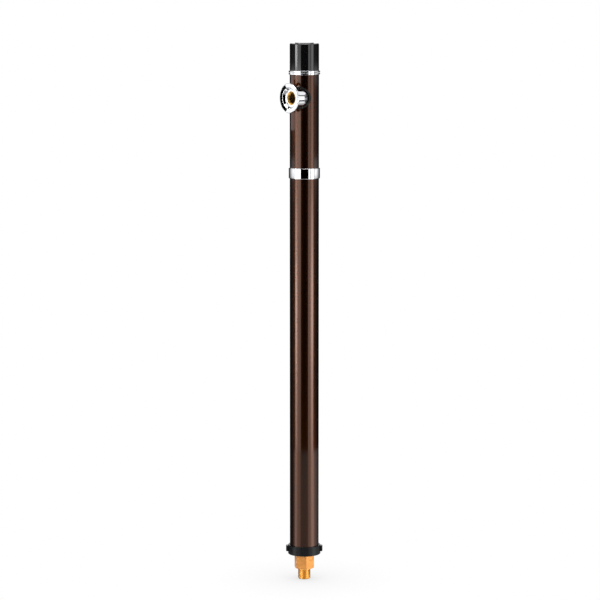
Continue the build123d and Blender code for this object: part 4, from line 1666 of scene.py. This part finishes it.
@dataclass(frozen=True)
class InnerWorks:
    """The parts inside, which keep the frame's solids and get their finishes."""

    outlet_nodes: tuple[str, ...] = ("outlet_washer",)

    def dress(self, outlet: Outlet) -> None:
        """Gives every node that still shows the finish of its slot.

        Args:
            outlet: Gives the axis of the nodes that lie across the column.
        """
        for row in frame["record"]["subparts"]:
            node = frame["nodes"][row["node"]]
            if node.hide_render:
                continue
            seat = outlet.root_seat if row["node"] in self.outlet_nodes else UPRIGHT
            material = FINISHES[row["material_slot"]].material(seat)
            for slot in node.material_slots:
                slot.material = material
            log.info("%s: dressed in %s", row["node"], row["material_slot"])


def set_piece(
    name: str, work: BMesh, material: bpy.types.Material, hidden_from: Sequence[str]
) -> None:
    """Puts a piece of the set in the scene.

    Args:
        name: Its name.
        work: Its mesh, which is used up.
        material: Its material.
        hidden_from: The kinds of rays that don't see it.
    """
    piece = placed_object(name, work)
    piece.data.materials.append(material)
    for ray in hidden_from:
        setattr(piece, f"visible_{ray}", False)


@dataclass(frozen=True)
class Softbox:
    """One curved light wall round the object, its levels set by direction and height."""

    name: str
    directions: Stops
    strength: float
    heights: Stops
    distance: float = 1.25
    panels: int = 24

    @property
    def sides(self) -> tuple[float, float]:
        """The directions of its two sides, in degrees."""
        return self.directions[0][0], self.directions[-1][0]

    @property
    def ends(self) -> tuple[float, float]:
        """The heights of its lower and upper end."""
        return self.heights[0][0], self.heights[-1][0]

    def build(self) -> None:
        """Builds the wall, seen by reflections and surfaces and never by the camera."""
        start, end = self.sides
        work = bmesh.new()
        angle = math.radians(start)
        spot = (self.distance * math.sin(angle), -self.distance * math.cos(angle))
        ends = [work.verts.new((*spot, height)) for height in self.ends]
        edge = work.edges.new(ends)
        spun(work, [*ends, edge], math.radians(end - start), self.panels)
        set_piece(self.name, work, self.glow(), WALL_RAYS)

    def glow(self) -> bpy.types.Material:
        """The light's material: its strength falls off towards its sides and ends.

        Returns:
            The material.
        """
        (start, end), (low, high) = self.sides, self.ends
        made = bpy.data.materials.new(self.name)
        graph = Graph.emptied(made)
        parts = graph.parts(graph.node("ShaderNodeTexCoord").outputs["Object"])
        if end > 180:
            turned_half = graph.math("ARCTAN2", graph.math("MULTIPLY", parts[0], -1.0), parts[1])
            direction = graph.math("ADD", graph.math("DEGREES", turned_half), 180.0)
        else:
            back = graph.math("MULTIPLY", parts[1], -1.0)
            direction = graph.math("DEGREES", graph.math("ARCTAN2", parts[0], back))
        across, up = graph.span(direction, start, end), graph.span(parts[2], low, high)
        side_levels = [((place - start) / (end - start), level) for place, level in self.directions]
        height_levels = [((place - low) / (high - low), level) for place, level in self.heights]
        levels = graph.steps(across, side_levels), graph.steps(up, height_levels)
        strength = graph.math("MULTIPLY", graph.math("MULTIPLY", *levels), self.strength)
        graph.glow({"Color": (1.0, 1.0, 1.0, 1.0), "Strength": strength})
        return made


LEFT_CORE_SIDES = ((-32, 0.0), (-25, 0.25), (-16, 1.0), (-5, 0.95), (2, 0.0))
LEFT_FLANK_SIDES = ((-12, 0.0), (-4, 1.0), (22, 1.0), (26, 0.0))
LEFT_TAIL_SIDES = (
    (-96, 0.0), (-85, 0.08), (-68, 0.3), (-54, 0.6), (-43, 0.85), (-31, 1.0), (-24, 0.0),
)
RIGHT_CORE_SIDES = ((96, 0.0), (106, 0.7), (115, 1.0), (123, 0.8), (133, 0.3), (140, 0.0))
RIGHT_FLANK_SIDES = ((81, 0.0), (85, 1.0), (104, 1.0), (112, 0.0))
RIGHT_TAIL_SIDES = (
    (128, 0.0), (135, 1.0), (149, 0.9), (161, 0.6), (174, 0.3), (193, 0.06), (200, 0.0),
)
REAR_SIDES = ((220, 0.0), (226, 1.0), (238, 1.0), (244, 0.0))
LEFT_CORE_HEIGHTS = (
    (-0.75, 0.12), (-0.3, 0.2), (-0.1, 0.24), (0.1, 0.55), (0.25, 0.97), (0.34, 1.0), (0.46, 0.7),
    (0.58, 0.4), (0.7, 0.34), (0.79, 0.36), (0.83, 0.85), (0.95, 0.8), (1.5, 0.4),
)
LEFT_FLANK_HEIGHTS = (
    (-0.75, 0.3), (-0.23, 0.47), (-0.1, 0.62), (0.3, 0.85), (0.62, 1.2), (0.79, 1.15),
    (0.83, 0.6), (1.5, 0.6),
)
TAIL_HEIGHTS = (
    (-0.75, 0.04), (-0.2, 0.09), (0.1, 0.1), (0.35, 0.1), (0.5, 0.14), (0.568, 0.26),
    (0.582, 0.95), (0.609, 0.95), (0.622, 0.2), (0.76, 0.2), (0.79, 0.66), (0.8, 0.66),
    (0.82, 0.06), (1.5, 0.21),
)
RIGHT_CORE_HEIGHTS = (
    (-0.75, 0.2), (-0.3, 0.4), (-0.1, 0.38), (0.1, 0.65), (0.25, 1.0), (0.34, 1.0), (0.46, 0.7),
    (0.58, 0.38), (0.7, 0.32), (0.79, 0.3), (0.83, 0.28), (1.5, 0.4),
)
RIGHT_FLANK_HEIGHTS = (
    (-0.75, 0.3), (-0.23, 0.56), (-0.1, 0.75), (0.3, 1.0), (0.65, 0.75), (0.8, 0.7), (1.5, 0.7),
)
CARD_SIDES = (
    (-180, 0.1), (-140, 0.02), (-104, 0.03), (-86, 0.15), (-74, 0.75), (-62, 0.7), (-52, 0.38),
    (-34, 0.38), (-26, 0.16), (26, 0.16), (33, 0.42), (50, 0.5), (62, 1.0), (76, 0.9), (90, 0.4),
    (112, 0.2), (140, 0.04), (180, 0.1),
)
REAR_HEIGHTS = ((-0.75, 0.2), (0.0, 0.6), (0.4, 1.0), (0.9, 0.9), (1.4, 0.0))


@dataclass(frozen=True)
class Card:
    """A small flat card that only reflections see."""

    name: str
    centre: tuple[float, float, float]
    facing: float
    size: tuple[float, float]
    level: float

    def build(self) -> None:
        """Builds the card."""
        work = bmesh.new()
        upright = Matrix.Rotation(math.pi / 2, 4, "X")
        turn = Matrix.Rotation(math.radians(self.facing), 4, "Z")
        size = Matrix.Diagonal((*self.size, 1, 1))
        place = Matrix.Translation(self.centre) @ turn @ upright @ size
        bmesh.ops.create_grid(work, x_segments=1, y_segments=1, size=0.5, matrix=place)
        made = bpy.data.materials.new(self.name)
        Graph.emptied(made).glow({"Strength": self.level})
        set_piece(self.name, work, made, CARD_RAYS)


@dataclass(frozen=True)
class Studio:
    """The pale floor with its painted contact shadow, the soft lights and the camera."""

    view_direction: float = 52.0
    camera_distance: float = 4.2
    camera_height: float = 1.0473
    camera_pitch: float = 7.747
    camera_aside: float = 7.2 * MM
    lens: float = 152.18
    camera_range: tuple[float, float] = (0.1, 100.0)
    disc_steps: int = 96
    overhead_size: float = 1.0
    overhead_height: float = 2.0
    overhead_energy: float = 14.0
    fill_level: float = 0.35
    shade_reach: float = 0.14
    matt_floor: Colour = (0.7, 0.7, 0.7, 1.0)
    floor_radius: float = 3.0
    card_radius: float = 1.15
    card_strength: float = 2.4

    def build(self) -> None:
        """Builds the whole set."""
        self.build_floor()
        self.build_walls()
        Card("dark_card", (-0.05, -0.12, 0.811), -28, (0.036, 0.056), 0.0).build()
        Card("pale_card", (-0.114, -0.124, 0.8), -54, (0.15, 0.1), 1.3).build()
        self.build_overhead()
        self.build_world()
        self.build_camera()
        bpy.context.scene.view_settings.view_transform = "Standard"

    def toward(self, direction: float, distance: float, height: float) -> Vector:
        """The point in a direction round the column, at a distance and a height."""
        angle = math.radians(direction)
        return Vector((distance * math.sin(angle), -distance * math.cos(angle), height))

    def disc(self, radius: float, height: float) -> BMesh:
        """A flat disc round the column's axis.

        Args:
            radius: Its radius.
            height: Its height.

        Returns:
            Its mesh.
        """
        work = bmesh.new()
        place = Matrix.Translation((0, 0, height))
        bmesh.ops.create_circle(
            work, cap_ends=True, segments=self.disc_steps, radius=radius, matrix=place
        )
        return work

    def build_floor(self) -> None:
        """The floor that the camera sees, and the card that reflections see in its place."""
        floor = self.disc(self.floor_radius, 0.0)
        set_piece("floor", floor, self.floor_paint(), ("glossy", "shadow"))
        card = self.disc(self.card_radius, 0.5 * MM)
        set_piece("floor_card", card, self.card_glow(), CARD_RAYS)

    def floor_paint(self) -> bpy.types.Material:
        """The floor: pale to the camera, with a painted contact shadow close under the object.

        Returns:
            The material.
        """
        made = bpy.data.materials.new("pale_floor")
        graph = Graph.emptied(made)
        # Painted shadow: ambient occlusion darkens the floor's glow to the camera close under the
        # object.
        shade = graph.node("ShaderNodeAmbientOcclusion", {"Distance": self.shade_reach}, samples=12)
        level = graph.span(shade.outputs["AO"], 0.0, 1.0, 0.6, 1.0)
        glow_with_painted_shadow = graph.node("ShaderNodeEmission", {"Color": level, "Strength": 1.0})
        matt = graph.node("ShaderNodeBsdfDiffuse", {"Color": self.matt_floor})
        seen = graph.node("ShaderNodeLightPath").outputs["Is Camera Ray"]
        values = {0: seen, 1: matt.outputs[0], 2: glow_with_painted_shadow.outputs[0]}
        graph.surface(graph.node("ShaderNodeMixShader", values).outputs[0])
        return made

    def card_glow(self) -> bpy.types.Material:
        """What reflections see below: pale, and darker on the camera's side.

        Returns:
            The material.
        """
        made = bpy.data.materials.new("floor_card")
        graph = Graph.emptied(made)
        where = graph.node("ShaderNodeTexCoord").outputs["Object"]
        forward, aside = (
            graph.dot(where, tuple(self.toward(self.view_direction + turn, 1.0, 0.0)))
            for turn in (0, 90)
        )
        turn = graph.math("DEGREES", graph.math("ARCTAN2", aside, forward))
        places = [((place + 180) / 360, level) for place, level in CARD_SIDES]
        around = graph.steps(graph.span(turn, -180.0, 180.0), places)
        out = graph.node("ShaderNodeVectorMath", {0: where}, operation="LENGTH")
        near = graph.span(out.outputs["Value"], 0.12, 0.2, 0.42, 0.0)
        level = graph.math("MULTIPLY", graph.math("MAXIMUM", around, near), self.card_strength)
        graph.glow({"Color": level, "Strength": 1.0})
        return made

    def build_walls(self) -> None:
        """The light walls: a bright core and a dimmer flank each side, and one behind."""
        for wall in (
            Softbox("left_core", LEFT_CORE_SIDES, 8.6, LEFT_CORE_HEIGHTS),
            Softbox("left_flank", LEFT_FLANK_SIDES, 1.7, LEFT_FLANK_HEIGHTS),
            Softbox("left_tail", LEFT_TAIL_SIDES, 1.4, TAIL_HEIGHTS),
            Softbox("right_core", RIGHT_CORE_SIDES, 6.4, RIGHT_CORE_HEIGHTS),
            Softbox("right_flank", RIGHT_FLANK_SIDES, 1.8, RIGHT_FLANK_HEIGHTS),
            Softbox("right_tail", RIGHT_TAIL_SIDES, 1.4, TAIL_HEIGHTS),
            Softbox("rear_wall", REAR_SIDES, 1.4, REAR_HEIGHTS),
        ):
            wall.build()

    def build_overhead(self) -> None:
        """A soft panel above."""
        data = bpy.data.lights.new("overhead", "AREA")
        data.shape = "RECTANGLE"
        data.size = data.size_y = self.overhead_size
        data.energy = self.overhead_energy
        light = bpy.data.objects.new("overhead", data)
        light.location = (0.0, 0.0, self.overhead_height)
        light.visible_camera = False
        bpy.context.scene.collection.objects.link(light)

    def build_world(self) -> None:
        """White to the camera, soft to surfaces and dark to reflections."""
        world = bpy.data.worlds.new("studio")
        bpy.context.scene.world = world
        graph = Graph.emptied(world)
        path = graph.node("ShaderNodeLightPath").outputs
        soft = graph.math("MULTIPLY", path["Is Diffuse Ray"], self.fill_level)
        direction = graph.node("ShaderNodeTexCoord").outputs["Generated"]
        facing = graph.dot(direction, tuple(self.toward(self.view_direction, 1.0, 0.0)))
        away = graph.span(facing, 0.15, 0.4, 1.0, 0.0)
        rise = graph.parts(direction)[2]
        high = graph.math("MULTIPLY", graph.span(rise, 0.36, 0.5, 0.01, 1.0), away)
        above = graph.math("MULTIPLY", high, path["Is Glossy Ray"])
        level = graph.math("MAXIMUM", graph.math("MAXIMUM", path["Is Camera Ray"], soft), above)
        background = graph.node("ShaderNodeBackground", {"Color": (1, 1, 1, 1), "Strength": level})
        graph.node("ShaderNodeOutputWorld", {"Surface": background.outputs[0]})

    def build_camera(self) -> None:
        """The camera, far off and looking a little down."""
        data = bpy.data.cameras.new("camera")
        data.lens = self.lens
        data.clip_start, data.clip_end = self.camera_range
        camera = bpy.data.objects.new("camera", data)
        camera.location = self.toward(self.view_direction, self.camera_distance, self.camera_height)
        fall = self.camera_distance * math.tan(math.radians(self.camera_pitch))
        aside = self.toward(self.view_direction + 90, -self.camera_aside, 0.0)
        target = Vector((aside.x, aside.y, self.camera_height - fall))
        camera.rotation_euler = (target - camera.location).to_track_quat("-Z", "Y").to_euler()
        bpy.context.scene.collection.objects.link(camera)
        bpy.context.scene.camera = camera


def main() -> None:
    """Builds the object and its set."""
    logging.basicConfig(level=logging.INFO, format="%(name)s %(message)s")
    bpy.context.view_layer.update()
    outlet = Outlet()
    Casing().build(outlet)
    Handle().build()
    outlet.build()
    Foot().build()
    InnerWorks().dress(outlet)
    Studio().build()


if __name__ == "__main__":
    main()
